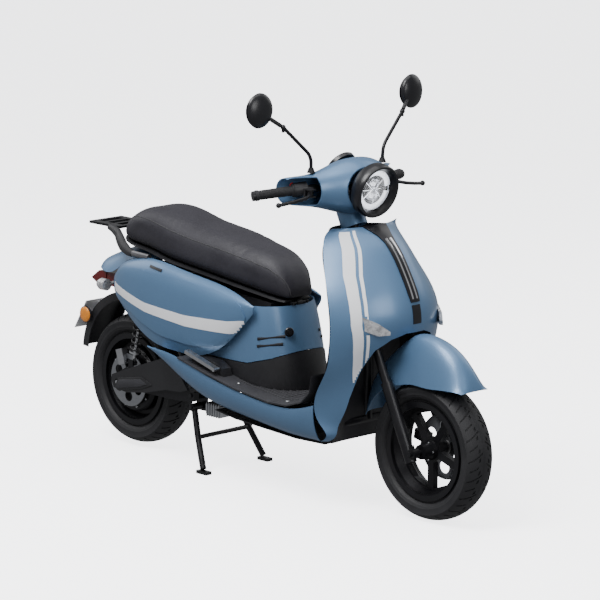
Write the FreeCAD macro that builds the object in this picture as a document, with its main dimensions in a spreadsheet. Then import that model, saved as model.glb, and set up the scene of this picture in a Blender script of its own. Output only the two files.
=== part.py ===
import FreeCAD, Part
import Sketcher
import math
import os

# Electric moped scooter. +X forward, +Y to the rider's left, +Z up, millimetres.
# The origin is on the ground, midway between the front of the front tyre and the
# rear edge of the number plate. It stands on its centre stand.

vec = FreeCAD.Vector
doc = FreeCAD.newDocument("MopedScooter")
sheet = doc.addObject("Spreadsheet::Sheet", "Sizes")

driving_sizes = {
    "wheel_base": 1450,          # front axle to rear axle
    "rear_overhang": 290,        # rear axle to the plate's lower edge
    "tyre_radius": 234,
    "tyre_width": 114,
    "rim_radius": 165,           # lip of the 12 inch rims
    "stand_lift": 9,             # the stand holds the rear tyre off the ground
    "axle_radius": 7.5,
    "front_hub_width": 120,
    "front_disc_radius": 110,
    "rear_disc_radius": 95,
    "disc_thickness": 4,
    "spoke_count": 5,
    "motor_radius": 118,
    "motor_width": 112,
    "rake_angle": 25,
    "axle_lead": 42,             # front axle ahead of the steering axis
    "leg_lead": 20,              # fork legs ahead of the steering axis
    "leg_gap": 13,               # between the tyre's side and the fork legs
    "stanchion_radius": 15,
    "slider_radius": 20,
    "fork_travel": 50,
    "head_low": 545,             # along the steering axis, from the axle's foot point
    "head_high": 725,
    "head_tube_radius": 29,
    "stem_radius": 13,
    "handlebar_width": 668,
    "bar_radius": 11,
    "grip_radius": 16.5,
    "grip_length": 118,
    "mirror_radius": 58,
    "floor_width": 472,
    "floor_thickness": 5,
    "panel_thickness": 3,
    "apron_height": 942,
    "rail_radius": 15,
    "rail_spacing": 220,
    "arm_spacing": 200,          # between the swingarm legs' middles
    "arm_thickness": 22,
    "pivot_ahead": 382,          # swingarm pivot ahead of the rear axle
    "pivot_height": 255,
    "shock_radius": 21,
    "stand_pivot_height": 214,
    "stand_foot_spread": 288,
    "seat_length": 850,
    "seat_width": 268,
    "plate_width": 150,
    "rack_width": 150,
    "running_gap": 0.5,          # between pieces that turn or slide past each other
    "seat_gap": 2,               # between a cover and the piece beside it
}
for row, (word, number) in enumerate(driving_sizes.items(), 1):
    sheet.set("A%d" % row, word)
    sheet.set("B%d" % row, str(number))
    sheet.setAlias("B%d" % row, word)
doc.recompute()


class Size:
    # A length or angle that carries its number and the sheet formula behind it.

    def __init__(self, value, formula=None):
        self.value = float(value)
        self.formula = formula or repr(float(value))

    def join(self, other, sign, value):
        return Size(value, "(%s %s %s)" % (self.formula, sign, whole(other).formula))

    def __add__(self, other):
        return self.join(other, "+", self.value + whole(other).value)

    def __sub__(self, other):
        return self.join(other, "-", self.value - whole(other).value)

    def __mul__(self, other):
        return self.join(other, "*", self.value * whole(other).value)

    def __truediv__(self, other):
        return self.join(other, "/", self.value / whole(other).value)

    def __radd__(self, other):
        return whole(other) + self

    def __rsub__(self, other):
        return whole(other) - self

    def __rmul__(self, other):
        return whole(other) * self

    def __neg__(self):
        return Size(-self.value, "(0 - %s)" % self.formula)

    def __float__(self):
        return self.value


def whole(number):
    return number if isinstance(number, Size) else Size(number)


def sine(angle):
    return Size(math.sin(math.radians(float(angle))), "sin(%s)" % whole(angle).formula)


def cosine(angle):
    return Size(math.cos(math.radians(float(angle))), "cos(%s)" % whole(angle).formula)


class Sheet:
    # Reads a named size from the spreadsheet.
    def __getattr__(self, word):
        return Size(sheet.get(word), "Sizes." + word)


size = Sheet()

# ------------------------------------------------------------------ reference places
front_x = (size.wheel_base + size.rear_overhang - size.tyre_radius) / 2
rear_x = front_x - size.wheel_base
front_z = size.tyre_radius
rear_z = size.tyre_radius + size.stand_lift
pivot_x = rear_x + size.pivot_ahead
lean_sin = sine(size.rake_angle)
lean_cos = cosine(size.rake_angle)
axle_line = 1450 / 2             # half the wheelbase that the body outlines are drawn for
drawn_middle = 28                # middle of that wheelbase ahead of the origin


def front(x):
    # A place on the front bodywork, which keeps its distance to the front axle.
    return front_x + (x - (drawn_middle + axle_line))


def rear(x):
    # A place on the rear bodywork, which keeps its distance to the rear axle.
    return rear_x + (x - (drawn_middle - axle_line))


floor_front = 300
floor_rear = -250


def middle(x):
    # A place along the floor, which stretches with the wheelbase.
    share = (x - floor_rear) / (floor_front - floor_rear)
    share = min(max(share, 0), 1)
    extra = x - (floor_rear + share * (floor_front - floor_rear))
    return rear(floor_rear) * (1 - share) + front(floor_front) * share + extra


def steer(along, ahead=0, side=0):
    # A point in the steering frame: along the steering axis, ahead of it, to its left.
    shift = ahead - size.axle_lead
    return (front_x + shift * lean_cos - along * lean_sin,
            whole(side),
            front_z + shift * lean_sin + along * lean_cos)


def point(place):
    return vec(float(place[0]), float(place[1]), float(place[2]))


UP, LEFT, AHEAD = vec(0, 0, 1), vec(0, 1, 0), vec(1, 0, 0)
upright = FreeCAD.Rotation()
across = FreeCAD.Rotation(UP, LEFT)                 # local Z along +Y
lengthways = FreeCAD.Rotation(UP, AHEAD)            # local Z along +X
raked = FreeCAD.Rotation(LEFT, -float(size.rake_angle))
steer_axis = raked.multVec(UP)


# ------------------------------------------------------------------ building helpers
def bind(thing, words, number):
    thing.setExpression(words, whole(number).formula)


def place(thing, at, turn=upright):
    thing.Placement = FreeCAD.Placement(point(at), turn)
    for letter, number in zip("xyz", at):
        bind(thing, "Placement.Base." + letter, number)
    return thing


def toward(start, end):
    return FreeCAD.Rotation(UP, point(end) - point(start))


def cylinder(name, radius, height, at, turn=upright):
    rod = doc.addObject("Part::Cylinder", name)
    bind(rod, "Radius", radius)
    bind(rod, "Height", height)
    return place(rod, at, turn)


def crossbar(name, radius, half_width, x, z, side=0):
    # A cylinder along Y, centred at side.
    return cylinder(name, radius, 2 * whole(half_width), (x, side - whole(half_width), z), across)


def rod_between(name, radius, start, end):
    length = (point(end) - point(start)).Length
    return cylinder(name, radius, length, start, toward(start, end))


def cone(name, low, high, height, at, turn=upright):
    spike = doc.addObject("Part::Cone", name)
    bind(spike, "Radius1", low)
    bind(spike, "Radius2", high)
    bind(spike, "Height", height)
    return place(spike, at, turn)


def ball(name, radius, at):
    round_end = doc.addObject("Part::Sphere", name)
    bind(round_end, "Radius", radius)
    return place(round_end, at)


def box(name, length, width, height, at, turn=upright):
    # A block centred at the point.
    block = doc.addObject("Part::Box", name)
    bind(block, "Length", length)
    bind(block, "Width", width)
    bind(block, "Height", height)
    half = vec(float(length) / 2, float(width) / 2, float(height) / 2)
    half = turn.multVec(half)
    corner = [at[0] - half.x, at[1] - half.y, at[2] - half.z]
    if turn.Angle == 0:
        corner = [at[0] - whole(length) / 2, at[1] - whole(width) / 2, at[2] - whole(height) / 2]
    return place(block, corner, turn)


def fuse(name, *shapes):
    joined = doc.addObject("Part::MultiFuse", name)
    joined.Shapes = list(shapes)
    return joined


def cut(name, base, *tools):
    rest = doc.addObject("Part::Cut", name)
    rest.Base = base
    rest.Tool = tools[0] if len(tools) == 1 else fuse(name + "_tools", *tools)
    return rest


def tube(name, radius, bore, height, at, turn=upright):
    outside = cylinder(name + "_outside", radius, height, at, turn)
    inside = cylinder(name + "_inside", bore, height, at, turn)
    return cut(name, outside, inside)


def mirror(name, source):
    other = doc.addObject("Part::Mirroring", name)
    other.Source = source
    other.Normal = LEFT
    return other


def pair(name, source):
    # The piece and its mirror image, as two solids of one node.
    both = doc.addObject("Part::Compound", name)
    both.Links = [source, mirror(name + "_left", source)]
    return both


def group(name, *pieces):
    several = doc.addObject("Part::Compound", name)
    several.Links = list(pieces)
    return several


def draw(body, name, outline, plane):
    # A closed outline on one of the body's planes, each corner bound to the sheet.
    drawing = body.newObject("Sketcher::SketchObject", name)
    support = [face for face in body.Origin.OriginFeatures if face.Role == plane][0]
    drawing.AttachmentSupport = (support, [""])
    drawing.MapMode = "FlatFace"
    corners = [(whole(a), whole(b)) for a, b in outline]
    flat = [vec(a.value, b.value, 0) for a, b in corners]
    count = len(flat)
    for i in range(count):
        drawing.addGeometry(Part.LineSegment(flat[i], flat[(i + 1) % count]), False)
    for i in range(count):
        drawing.addConstraint(Sketcher.Constraint("Coincident", i, 2, (i + 1) % count, 1))
    for i, corner in enumerate(corners):
        for kind, axis, number in (("DistanceX", -2, corner[0]), ("DistanceY", -1, corner[1])):
            if abs(number.value) < 1e-9:
                drawing.addConstraint(Sketcher.Constraint("PointOnObject", i, 1, axis))
                continue
            row = Sketcher.Constraint(kind, -1, 1, i, 1, number.value)
            index = drawing.addConstraint(row)
            drawing.setExpression("Constraints[%d]" % index, number.formula)
    return drawing


def turned(name, profile, at, plane="XY_Plane", turn=upright):
    # A body turned about its sketch's upright axis; the profile is (radius, along) points.
    body = doc.addObject("PartDesign::Body", name)
    drawing = draw(body, name + "_profile", profile, plane)
    spin = body.newObject("PartDesign::Revolution", name + "_turn")
    spin.Profile = drawing
    spin.ReferenceAxis = (drawing, ["V_Axis"])
    spin.Angle = 360
    return place(body, at, turn)


def sawn(name, outline, width, at=(0, 0, 0), turn=upright):
    # A side outline (x, z) given a width, half to each side.
    body = doc.addObject("PartDesign::Body", name)
    drawing = draw(body, name + "_outline", outline, "XZ_Plane")
    pad = body.newObject("PartDesign::Pad", name + "_pad")
    pad.Profile = drawing
    pad.SideType = "Symmetric"
    bind(pad, "Length", width)
    return place(body, at, turn)


def made(name, shape):
    # A shape that needs a sweep or a loft of curves.
    feature = doc.addObject("Part::Feature", name)
    spot = shape.Placement
    feature.Shape = shape
    feature.Placement = spot
    return feature


def bent_path(places, radius):
    # Straight runs joined by tangent arcs.
    spots = [point(p) for p in places]
    edges, last = [], spots[0]
    for before, corner, after in zip(spots, spots[1:], spots[2:]):
        back = (before - corner).normalize()
        on = (after - corner).normalize()
        turn = math.pi - back.getAngle(on)
        limit = 0.45 * min((before - corner).Length, (after - corner).Length)
        reach = min(float(radius) * math.tan(turn / 2), limit)
        start, end = corner + back * reach, corner + on * reach
        bend = reach / math.tan(turn / 2)
        centre = corner + (back + on).normalize() * (bend / math.cos(turn / 2))
        top = centre + (corner - centre).normalize() * bend
        edges += [Part.LineSegment(last, start).toShape(), Part.Arc(start, top, end).toShape()]
        last = end
    edges.append(Part.LineSegment(last, spots[-1]).toShape())
    return Part.Wire(edges)


def bent_rod(places, radius, bend=40, bore=0):
    path = bent_path(places, bend)
    start, way = point(places[0]), point(places[1]) - point(places[0])

    def sweep(r):
        ring = Part.Wire([Part.makeCircle(float(r), start, way)])
        return path.makePipeShell([ring], True, False)

    return sweep(radius).cut(sweep(bore)) if bore else sweep(radius)


def curve(spots):
    line = Part.BSplineCurve()
    line.interpolate(spots)
    return line.toShape()


def skin(outer_rows, inner_rows, ruled=False):
    # A curved sheet with a real thickness, lofted through rows of points.
    rings = []
    for outer, inner in zip(outer_rows, inner_rows):
        outer, inner = [point(p) for p in outer], [point(p) for p in inner]
        rings.append(Part.Wire([curve(outer),
                                Part.LineSegment(outer[-1], inner[-1]).toShape(),
                                curve(inner[::-1]),
                                Part.LineSegment(inner[0], outer[0]).toShape()]))
    return Part.makeLoft(rings, True, ruled)


def block_of(sections, ruled=False):
    # A solid lofted through closed outlines with straight sides.
    rings = [Part.makePolygon([point(p) for p in rows] + [point(rows[0])]) for rows in sections]
    return Part.makeLoft(rings, True, ruled)


def pushed(outline, depth):
    # A closed polygon pushed along a vector.
    face = Part.Face(Part.makePolygon([point(p) for p in outline] + [point(outline[0])]))
    return face.extrude(depth)


def oval_ring(centre, half_length, half_height, side):
    # An ellipse in a plane of constant y.
    ring = Part.Ellipse(vec(0, 0, 0), float(half_height), float(half_length))
    edge = ring.toShape()
    turn = FreeCAD.Rotation(vec(0, 0, 1), vec(1, 0, 0), vec(0, 1, 0), "ZXY")
    edge.Placement = FreeCAD.Placement(vec(float(centre[0]), float(side), float(centre[1])), turn)
    return Part.Wire([edge])


nodes = []


def node(name, thing):
    thing.Label = name
    if thing.Label != name:
        raise SystemExit("two pieces are called " + name)
    nodes.append(thing)
    return thing


shares = (-1, -0.92, -0.75, -0.5, -0.25, 0, 0.25, 0.5, 0.75, 0.92, 1)
wall = float(size.panel_thickness)

# ------------------------------------------------------------------ wheels
tyre_half = size.tyre_width / 2
rim_half = tyre_half * 0.88


def tyre(name, x, z):
    r, w, bead = size.tyre_radius, tyre_half, size.rim_radius + 1
    body = turned(name, [
        (bead, rim_half - 5), (bead + 4, rim_half), (r - 34, w), (r - 12, w * 0.84),
        (r - 3, w * 0.45), (r, 0), (r - 3, -w * 0.45), (r - 12, -w * 0.84), (r - 34, -w),
        (bead + 4, -rim_half), (bead, 5 - rim_half), (bead, 11 - rim_half),
        (r - 34, 10 - w), (r - 18, 16 - w), (r - 10, 0), (r - 18, w - 16),
        (r - 34, w - 10), (bead, rim_half - 11)], (x, 0, z))
    return node(name, body)


def rim_profile(inner):
    # Barrel with two lips round a web that starts at the inner radius.
    r, w = size.rim_radius, rim_half
    return [(inner, 11), (r - 33, 11), (r - 19, w - 14), (r - 19, w), (r, w), (r, w - 4.5),
            (r - 13, w - 4.5), (r - 13, 16), (r - 25, 11), (r - 25, -11), (r - 13, -16),
            (r - 13, 4.5 - w), (r, 4.5 - w), (r, -w), (r - 19, -w), (r - 19, 14 - w),
            (r - 33, -11), (inner, -11)]


def front_wheel_rim():
    hub = size.front_hub_width / 2
    bore = size.axle_radius + 0.05
    profile = [(bore, hub), (24, hub), (30, 22), (34, 11)] + rim_profile(whole(34))[1:-1]
    profile += [(34, -11), (30, -22), (24, -hub), (bore, -hub)]
    body = turned("front_rim", profile, (front_x, 0, front_z))
    window = []
    half_turn = 180 / float(size.spoke_count)
    spoke_half = 13
    for radius in (44, float(size.rim_radius) - 36):
        slack = math.degrees(math.asin(spoke_half / radius))
        reach = half_turn - slack
        for angle in (-reach, 0, reach) if radius > 50 else (reach, -reach):
            window.append((radius * math.sin(math.radians(angle)),
                           radius * math.cos(math.radians(angle))))
    drawing = draw(body, "window", window, "XZ_Plane")
    pocket = body.newObject("PartDesign::Pocket", "window_cut")
    pocket.Profile = drawing
    pocket.SideType = "Symmetric"
    pocket.Length = 80
    doc.recompute()
    pattern = body.newObject("PartDesign::PolarPattern", "windows")
    pattern.Originals = [pocket]
    pattern.Axis = (body.getObject("front_rim_profile"), ["V_Axis"])
    pattern.Angle = 360
    bind(pattern, "Occurrences", size.spoke_count)
    body.Tip = pattern
    return node("front_rim", body)


def brake_disc(name, radius, x, z, side, bore):
    ring = crossbar(name + "_plate", radius, size.disc_thickness / 2, x, z, side)
    holes = [crossbar(name + "_bore", bore, size.disc_thickness, x, z, side)]
    for step in range(6):
        angle = math.radians(step * 60)
        far = radius * 0.62
        holes.append(crossbar("%s_slot_%d" % (name, step), radius * 0.2, size.disc_thickness,
                              x + far * math.sin(angle), z + far * math.cos(angle), side))
    return node(name, cut(name, ring, *holes))


front_disc_side = size.front_hub_width / 2 - 4
tyre("front_tyre", front_x, front_z)
front_wheel_rim()
brake_disc("front_disc", size.front_disc_radius, front_x, front_z, front_disc_side, 28.5)

motor_half = size.motor_width / 2
rear_disc_side = -(motor_half + size.disc_thickness / 2 + 8)
tyre("rear_tyre", rear_x, rear_z)


def hub_motor_shell():
    r, w, thick, bore = size.motor_radius, motor_half, 5, size.axle_radius + 0.5
    return turned("hub_motor_shell", [
        (bore, w + 4), (24, w + 4), (28, w), (r - 8, w - 6), (r, w - 16), (r, 16 - w),
        (r - 8, 6 - w), (48, -w), (46, -w - 8), (bore, -w - 8), (bore, thick - w),
        (28, thick - w), (r - thick - 8, thick + 8 - w), (r - thick, 20 - w), (r - thick, w - 20),
        (r - thick - 8, w - thick - 8), (28, w - thick), (bore, w - thick)],
        (rear_x, 0, rear_z))


node("rear_rim", fuse("rear_rim", hub_motor_shell(), turned(
    "rear_barrel", rim_profile(size.motor_radius - 2), (rear_x, 0, rear_z))))
brake_disc("rear_disc", size.rear_disc_radius, rear_x, rear_z, rear_disc_side, 30)
stator_radius = size.motor_radius - 8
stator = turned("stator", [
    (size.axle_radius, 26), (stator_radius - 22, 26), (stator_radius, 24), (stator_radius, -24),
    (stator_radius - 22, -26), (size.axle_radius, -26)], (rear_x, 0, rear_z))

# ------------------------------------------------------------------ front fork
leg_side = tyre_half + size.slider_radius + size.leg_gap
slider_top = 250


def fork_slider():
    slider = cylinder("slider_tube", size.slider_radius, slider_top + 24,
                      steer(-24, size.leg_lead, leg_side), raked)
    lug = crossbar("axle_lug", 17, 13, front_x, front_z, leg_side)
    web = box("axle_web", size.axle_lead - size.leg_lead + 8, 18, 44,
              steer(6, (size.axle_lead + size.leg_lead) / 2, leg_side), raked)
    bore = cylinder("slider_bore", size.stanchion_radius + 0.3, slider_top,
                    steer(26, size.leg_lead, leg_side), raked)
    axle_hole = crossbar("axle_hole", size.axle_radius, 30, front_x, front_z, leg_side)
    return cut("slider", fuse("slider_solid", slider, lug, web), bore, axle_hole)


right_slider = fork_slider()
node("fork_sliders", group("fork_sliders", right_slider, mirror("slider_mirrored", right_slider),
                           crossbar("front_axle", size.axle_radius, leg_side + 22, front_x,
                                    front_z)))

crown_low = size.head_low - 42
crown_high = size.head_low - 16
stanchion_foot = 40 + size.fork_travel


def stanchion(side):
    return cylinder("stanchion", size.stanchion_radius, crown_high - stanchion_foot,
                    steer(stanchion_foot, size.leg_lead, side), raked)


tubes = pair("fork_stanchions", stanchion(leg_side))
bar_along = 915
stem_top = bar_along - size.bar_radius - 14


def steering_stem():
    column = cylinder("column", size.stem_radius, stem_top - crown_low, steer(crown_low), raked)
    plate = box("crown_plate", 48, 2 * (leg_side + size.stanchion_radius + 5),
                crown_high - crown_low, steer((crown_low + crown_high) / 2, 9), raked)
    holes = [cylinder("crown_hole", size.stanchion_radius, 90,
                      steer(crown_low - 20, size.leg_lead, side), raked)
             for side in (leg_side, -leg_side)]
    return cut("steering_stem", fuse("stem_solid", column, plate), *holes)


node("fork_yoke", group("fork_yoke", steering_stem(), tubes))
bearing_height = 8
race_radius = size.head_tube_radius - 4
node("steering_bearings", group("steering_bearings", *[
    tube("bearing_%d" % step, race_radius, size.stem_radius + 0.05, bearing_height, steer(along), raked)
    for step, along in enumerate((size.head_low, size.head_high - bearing_height))]))


def caliper(name, axle, radius, angle, side, disc_side, width):
    # A block that straddles the disc's rim, at an angle from straight up, leaning ahead.
    way = vec(math.sin(math.radians(angle)), 0, math.cos(math.radians(angle)))
    turn = FreeCAD.Rotation(LEFT, angle)

    def at(distance, side):
        return (axle[0] + distance * way.x, side, axle[1] + distance * way.z)

    block = box(name + "_block", 34, width, 56, at(radius - 8, side), turn)
    slot = box(name + "_slot", 60, size.disc_thickness + 3, 62, at(radius - 28, disc_side), turn)
    return cut(name, block, slot)


def arch_guard(name, centre, inner, outer, half, depth, start, end):
    # A channel bent round a wheel: a roof with two side walls, swept about a cross axis.
    flat = [(half, inner - depth), (half, outer), (-half, outer), (-half, inner - depth),
            (-half + 3, inner - depth), (-half + 3, inner), (half - 3, inner),
            (half - 3, inner - depth)]
    middle_at = point(centre)
    places = [middle_at + vec(0, side, rise) for side, rise in flat]
    face = Part.Face(Part.makePolygon(places + [places[0]]))
    face.rotate(middle_at, LEFT, start)
    return made(name, face.revolve(middle_at, LEFT, end - start))


def front_fender():
    # Rows round the axle: angle from ahead, crown radius, edge radius, half width.
    rows = [(50, 296, 290, 62), (58, 320, 267, 70), (72, 354, 234, 74), (86, 374, 222, 73),
            (100, 380, 224, 67), (114, 353, 230, 66), (129, 336, 244, 66),
            (143, 322, 256, 66), (161, 287, 262, 66)]
    crowned = 2.6
    fender_half = float(tyre_half) + 9
    outer_rows, inner_rows = [], []
    for angle, crown, edge, half in rows:
        half = half - 66 + fender_half
        way = vec(math.cos(math.radians(angle)), 0, math.sin(math.radians(angle)))
        grow = float(size.tyre_radius) - 234
        for thick, target in ((0, outer_rows), (wall, inner_rows)):
            places = []
            for share in shares:
                lift = 1 - abs(share) ** crowned
                radius = edge + grow + (crown - edge - thick) * lift
                place_at = way * radius
                places.append((front_x + place_at.x, share * (half - thick),
                               front_z + place_at.z))
            target.append(places)
    return made("front_fender", skin(outer_rows, inner_rows))


node("front_fender", front_fender())
node("front_caliper", caliper("front_caliper", (front_x, front_z), size.front_disc_radius,
                              -78, front_disc_side, front_disc_side, 30))

# ------------------------------------------------------------------ main frame
rail_side = size.rail_spacing / 2
rail_z = 288
floor_rail_front = front(442)
floor_rail_back = rear(-300)


def neck_frame():
    head_length = size.head_high - size.head_low
    head = cylinder("head_tube", size.head_tube_radius, head_length, steer(size.head_low), raked)
    down = made("down_tube", bent_rod([
        steer(size.head_low + 60, -24), (front(445), 0, 600), (front(446), 0, 440),
        (floor_rail_front, 0, rail_z)], 20, 200))
    cross = crossbar("front_cross", 18, rail_side + 8, floor_rail_front, rail_z)
    bore = cylinder("head_bore", race_radius, head_length + 40, steer(size.head_low - 20), raked)
    return cut("neck_frame", fuse("neck_solid", head, down, cross), bore)


def floor_rails():
    rail = cylinder("floor_rail", size.rail_radius, floor_rail_front - floor_rail_back - 36,
                    (floor_rail_back + 18, rail_side, rail_z), lengthways)
    cross = crossbar("mid_cross", 12, rail_side, middle(-80), rail_z)
    return fuse("floor_rails", rail, mirror("floor_rail_left", rail), cross)


node("main_frame", group("main_frame", neck_frame(), floor_rails()))


shock_side = rail_side - 18


def rear_subframe():
    path = [(floor_rail_back, rail_side, rail_z), (rear(-392), rail_side, 470),
            (rear(-500), rail_side - 16, 636), (rear(-720), rail_side - 38, 648)]
    rail = made("rear_rail", bent_rod(path, size.rail_radius, 90))
    cross = crossbar("pivot_cross", 18, rail_side + 8, floor_rail_back, rail_z)
    seat_cross = crossbar("seat_cross", 10, rail_side - 16, rear(-500), 636)
    parts = [rail, mirror("rear_rail_left", rail), cross, seat_cross]
    bolt = size.axle_radius
    for side in (-58, 58):
        plate = sawn("gusset_%d" % (side + 60), [
            (floor_rail_back + 16, 290), (pivot_x - 24, 290), (pivot_x - 24, 196),
            (pivot_x + 24, 196)], 10, (0, side, 0))
        parts.append(plate)
    lugs = []
    for side in (-1, 1):
        lugs.append(box("shock_lug_%d" % (side + 1), 30, 6, 62,
                        (rear(-575), side * (shock_side + 13), 624)))
    sleeve = crossbar("pivot_sleeve", 17, 72, pivot_x, size.pivot_height)
    holes = [crossbar("swing_hole", bolt, 90, pivot_x, size.pivot_height),
             crossbar("stand_hole", bolt, 90, pivot_x + 4, size.stand_pivot_height),
             crossbar("shock_hole", 5, 140, rear(-575), 606)]
    return cut("rear_subframe", fuse("subframe_solid", *(parts + lugs + [sleeve])), *holes)


node("rear_subframe", rear_subframe())
arm_side = size.arm_spacing / 2
bolt_reach = arm_side + size.arm_thickness / 2 + 4
pivot_bolt = crossbar("pivot_bolt", size.axle_radius, bolt_reach, pivot_x, size.pivot_height)
stand_x = pivot_x + 4
stand_bolt = crossbar("stand_bolt", size.axle_radius, 118, stand_x, size.stand_pivot_height)

# ------------------------------------------------------------------ swingarm and stand
shock_low_x, shock_low_z = rear(-640), 318
shock_high_x, shock_high_z = rear(-575), 606


def swingarm():
    outline = [(pivot_x + 20, 268), (pivot_x - 60, 286), (rear(-560), 290), (rear(-655), 304),
               (rear(-722), 266), (rear(-722), 222), (rear(-600), 224), (pivot_x - 60, 226),
               (pivot_x + 16, 236)]
    arm = sawn("arm", outline, size.arm_thickness, (0, arm_side, 0))
    axle_slot = crossbar("arm_axle_hole", size.axle_radius, 40, rear_x, rear_z, arm_side)
    hole = crossbar("arm_pivot_hole", size.axle_radius, 40, pivot_x, size.pivot_height, arm_side)
    arm = cut("arm_cut", arm, axle_slot, hole)
    lug = box("arm_lug", 24, 5, 40, (shock_low_x, shock_side + 12.5, shock_low_z - 8))
    pin = crossbar("arm_lug_pin", 3.2, 12, shock_low_x, shock_low_z, shock_side + 3)
    arm = fuse("arm_with_lug", arm, lug, pin)
    brace = crossbar("arm_brace", 13, arm_side, pivot_x - 42, 256)
    return fuse("swingarm", arm, mirror("arm_left", arm), brace)


node("swingarm", swingarm())
node("motor_stator", group("motor_stator", stator, crossbar(
    "rear_axle", size.axle_radius, arm_side + 24, rear_x, rear_z)))


def swingarm_cover():
    outline = [(rear(-729), 252), (rear(-716), 222), (rear(-646), 214), (rear(-538), 231),
               (rear(-436), 257), (rear(-360), 262), (rear(-320), 274), (rear(-355), 318),
               (rear(-456), 366), (rear(-563), 328), (rear(-623), 307), (rear(-724), 268)]
    face = arm_side + size.arm_thickness / 2 + 6
    plate = sawn("cover_plate", outline, 10, (0, -face, 0))
    hole = crossbar("cover_axle_hole", size.axle_radius + 5, 30, rear_x, rear_z, -face)
    pivot_hole = crossbar("cover_pivot_hole", 12, 30, pivot_x, size.pivot_height, -face)
    return cut("swingarm_cover", plate, hole, pivot_hole)


node("swingarm_cover", swingarm_cover())
node("rear_caliper", caliper("rear_caliper", (rear_x, rear_z), size.rear_disc_radius,
                             -18, rear_disc_side - 5.5, rear_disc_side, 24))
foot_side = size.stand_foot_spread / 2


def centre_stand():
    hinge = crossbar("stand_sleeve", 13, 22, stand_x, size.stand_pivot_height, 92)
    leg_top = (stand_x, 98, size.stand_pivot_height)
    leg = made("stand_leg", bent_rod([
        leg_top, (stand_x + 40, 118, 120), (stand_x + 94, foot_side - 2, 16)], 11, 60))
    foot = box("stand_foot", 52, 26, 11, (stand_x + 99, foot_side, 5.5))
    side = fuse("stand_side", hinge, leg, foot)
    bar = crossbar("stand_bar", 8, 118, stand_x + 42, 116)
    tang = made("stand_tang", bent_rod([
        (stand_x + 40, 118, 118), (stand_x + 20, 152, 112), (stand_x - 40, 166, 118)], 6, 30))
    solid = fuse("stand_solid", side, mirror("stand_side_right", side), bar, tang)
    hole = crossbar("stand_bore", size.axle_radius + 0.2, 150, stand_x, size.stand_pivot_height)
    return cut("centre_stand", solid, hole)


node("centre_stand", centre_stand())

# ------------------------------------------------------------------ shock absorbers
shock_length = (vec(float(shock_high_x - shock_low_x), 0, shock_high_z - shock_low_z)).Length
shock_turn = toward((shock_low_x, 0, shock_low_z), (shock_high_x, 0, shock_high_z))
shock_way = shock_turn.multVec(UP)


def on_shock(share, side=0):
    far = shock_length * share
    return (shock_low_x + far * shock_way.x, shock_side + side, shock_low_z + far * shock_way.z)


def shock_body():
    eye = crossbar("shock_eye", 12, 9, shock_high_x, shock_high_z, shock_side)
    can = cylinder("shock_can", 13, shock_length * 0.48, on_shock(0.45), shock_turn)
    seat = cylinder("shock_seat", size.shock_radius, 8, on_shock(0.86), shock_turn)
    bore = cylinder("shock_bore", 6.3, shock_length * 0.44, on_shock(0.44), shock_turn)
    hole = crossbar("shock_eye_hole", 5, 20, shock_high_x, shock_high_z, shock_side)
    return cut("shock_top", fuse("shock_top_solid", eye, can, seat), bore, hole)


def shock_rod():
    eye = crossbar("rod_eye", 11, 8, shock_low_x, shock_low_z, shock_side)
    rod = cylinder("rod", 6, shock_length * 0.58, on_shock(0.03), shock_turn)
    seat = cylinder("rod_seat", size.shock_radius, 7, on_shock(0.13), shock_turn)
    hole = crossbar("rod_eye_hole", 5, 20, shock_low_x, shock_low_z, shock_side)
    return cut("shock_rod", fuse("shock_rod_solid", eye, rod, seat), hole)


node("shock_bodies", pair("shock_bodies", shock_body()))
node("shock_rods", pair("shock_rods", shock_rod()))


def shock_spring():
    low, high = 0.13 + 8 / shock_length, 0.86 - 1 / shock_length
    height = shock_length * (high - low)
    turns = 8
    wire = 3.2
    middle_radius = float(size.shock_radius) - wire - 0.5
    pitch = (height - 2 * wire) / turns
    helix = Part.makeHelix(pitch, height - 2 * wire, middle_radius)
    ring = Part.Wire([Part.makeCircle(wire, vec(middle_radius, 0, 0), vec(0, 1, 0))])
    coil = Part.Wire(helix).makePipeShell([ring], True, True)
    coil.Placement = FreeCAD.Placement(point(on_shock(low)) + shock_way * wire, shock_turn)
    return made("spring", coil)


node("shock_springs", pair("shock_springs", shock_spring()))
shock_bolts = pair("shock_bolts", crossbar("shock_bolt", 5, 22, shock_high_x, shock_high_z,
                                           shock_side + 6))

# ------------------------------------------------------------------ front bodywork
apron_rows = [
    # height, crown x, edge x, half width, fullness
    (size.apron_height, 478, 432, 150, 2.0), (873, 571, 424, 183, 2.0),
    (800, 622, 461, 211, 2.0), (744, 653, 494, 231, 2.0), (658, 677, 525, 248, 2.0),
    (562, 652, 522, 249, 2.0), (499, 612, 505, 245, 2.3), (394, 585, 440, 234, 3.6),
    (300, 548, 446, 218, 4.0), (240, 515, 440, 206, 4.0)]
apron_grow = (size.floor_width - 472) / 2


def bowed(crown, edge, half, fullness, rise, thick=0):
    # A row across the body: bowed forward from its edges to the middle.
    half = half + apron_grow
    return [(front(edge + (crown - edge) * (1 - abs(share) ** fullness)) - thick,
             share * (half - abs(thick)), rise) for share in shares]


def front_apron():
    outer = [bowed(c, e, w, f, z) for z, c, e, w, f in apron_rows]
    inner = [bowed(c, e, w, f, z, wall) for z, c, e, w, f in apron_rows]
    arch = [(-206, 190), (-188, 253), (-172, 394), (-152, 499), (-132, 562), (-90, 597),
            (-40, 614), (40, 614), (90, 597), (132, 562), (152, 499), (172, 394), (188, 253),
            (206, 190)]
    well = pushed([(front(300), side + math.copysign(float(apron_grow), side), rise)
                   for side, rise in arch], vec(500, 0, 0))
    shell = made("apron_shell", skin(outer, inner).cut(well))
    return cut("front_apron", shell, front_signals)




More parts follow.
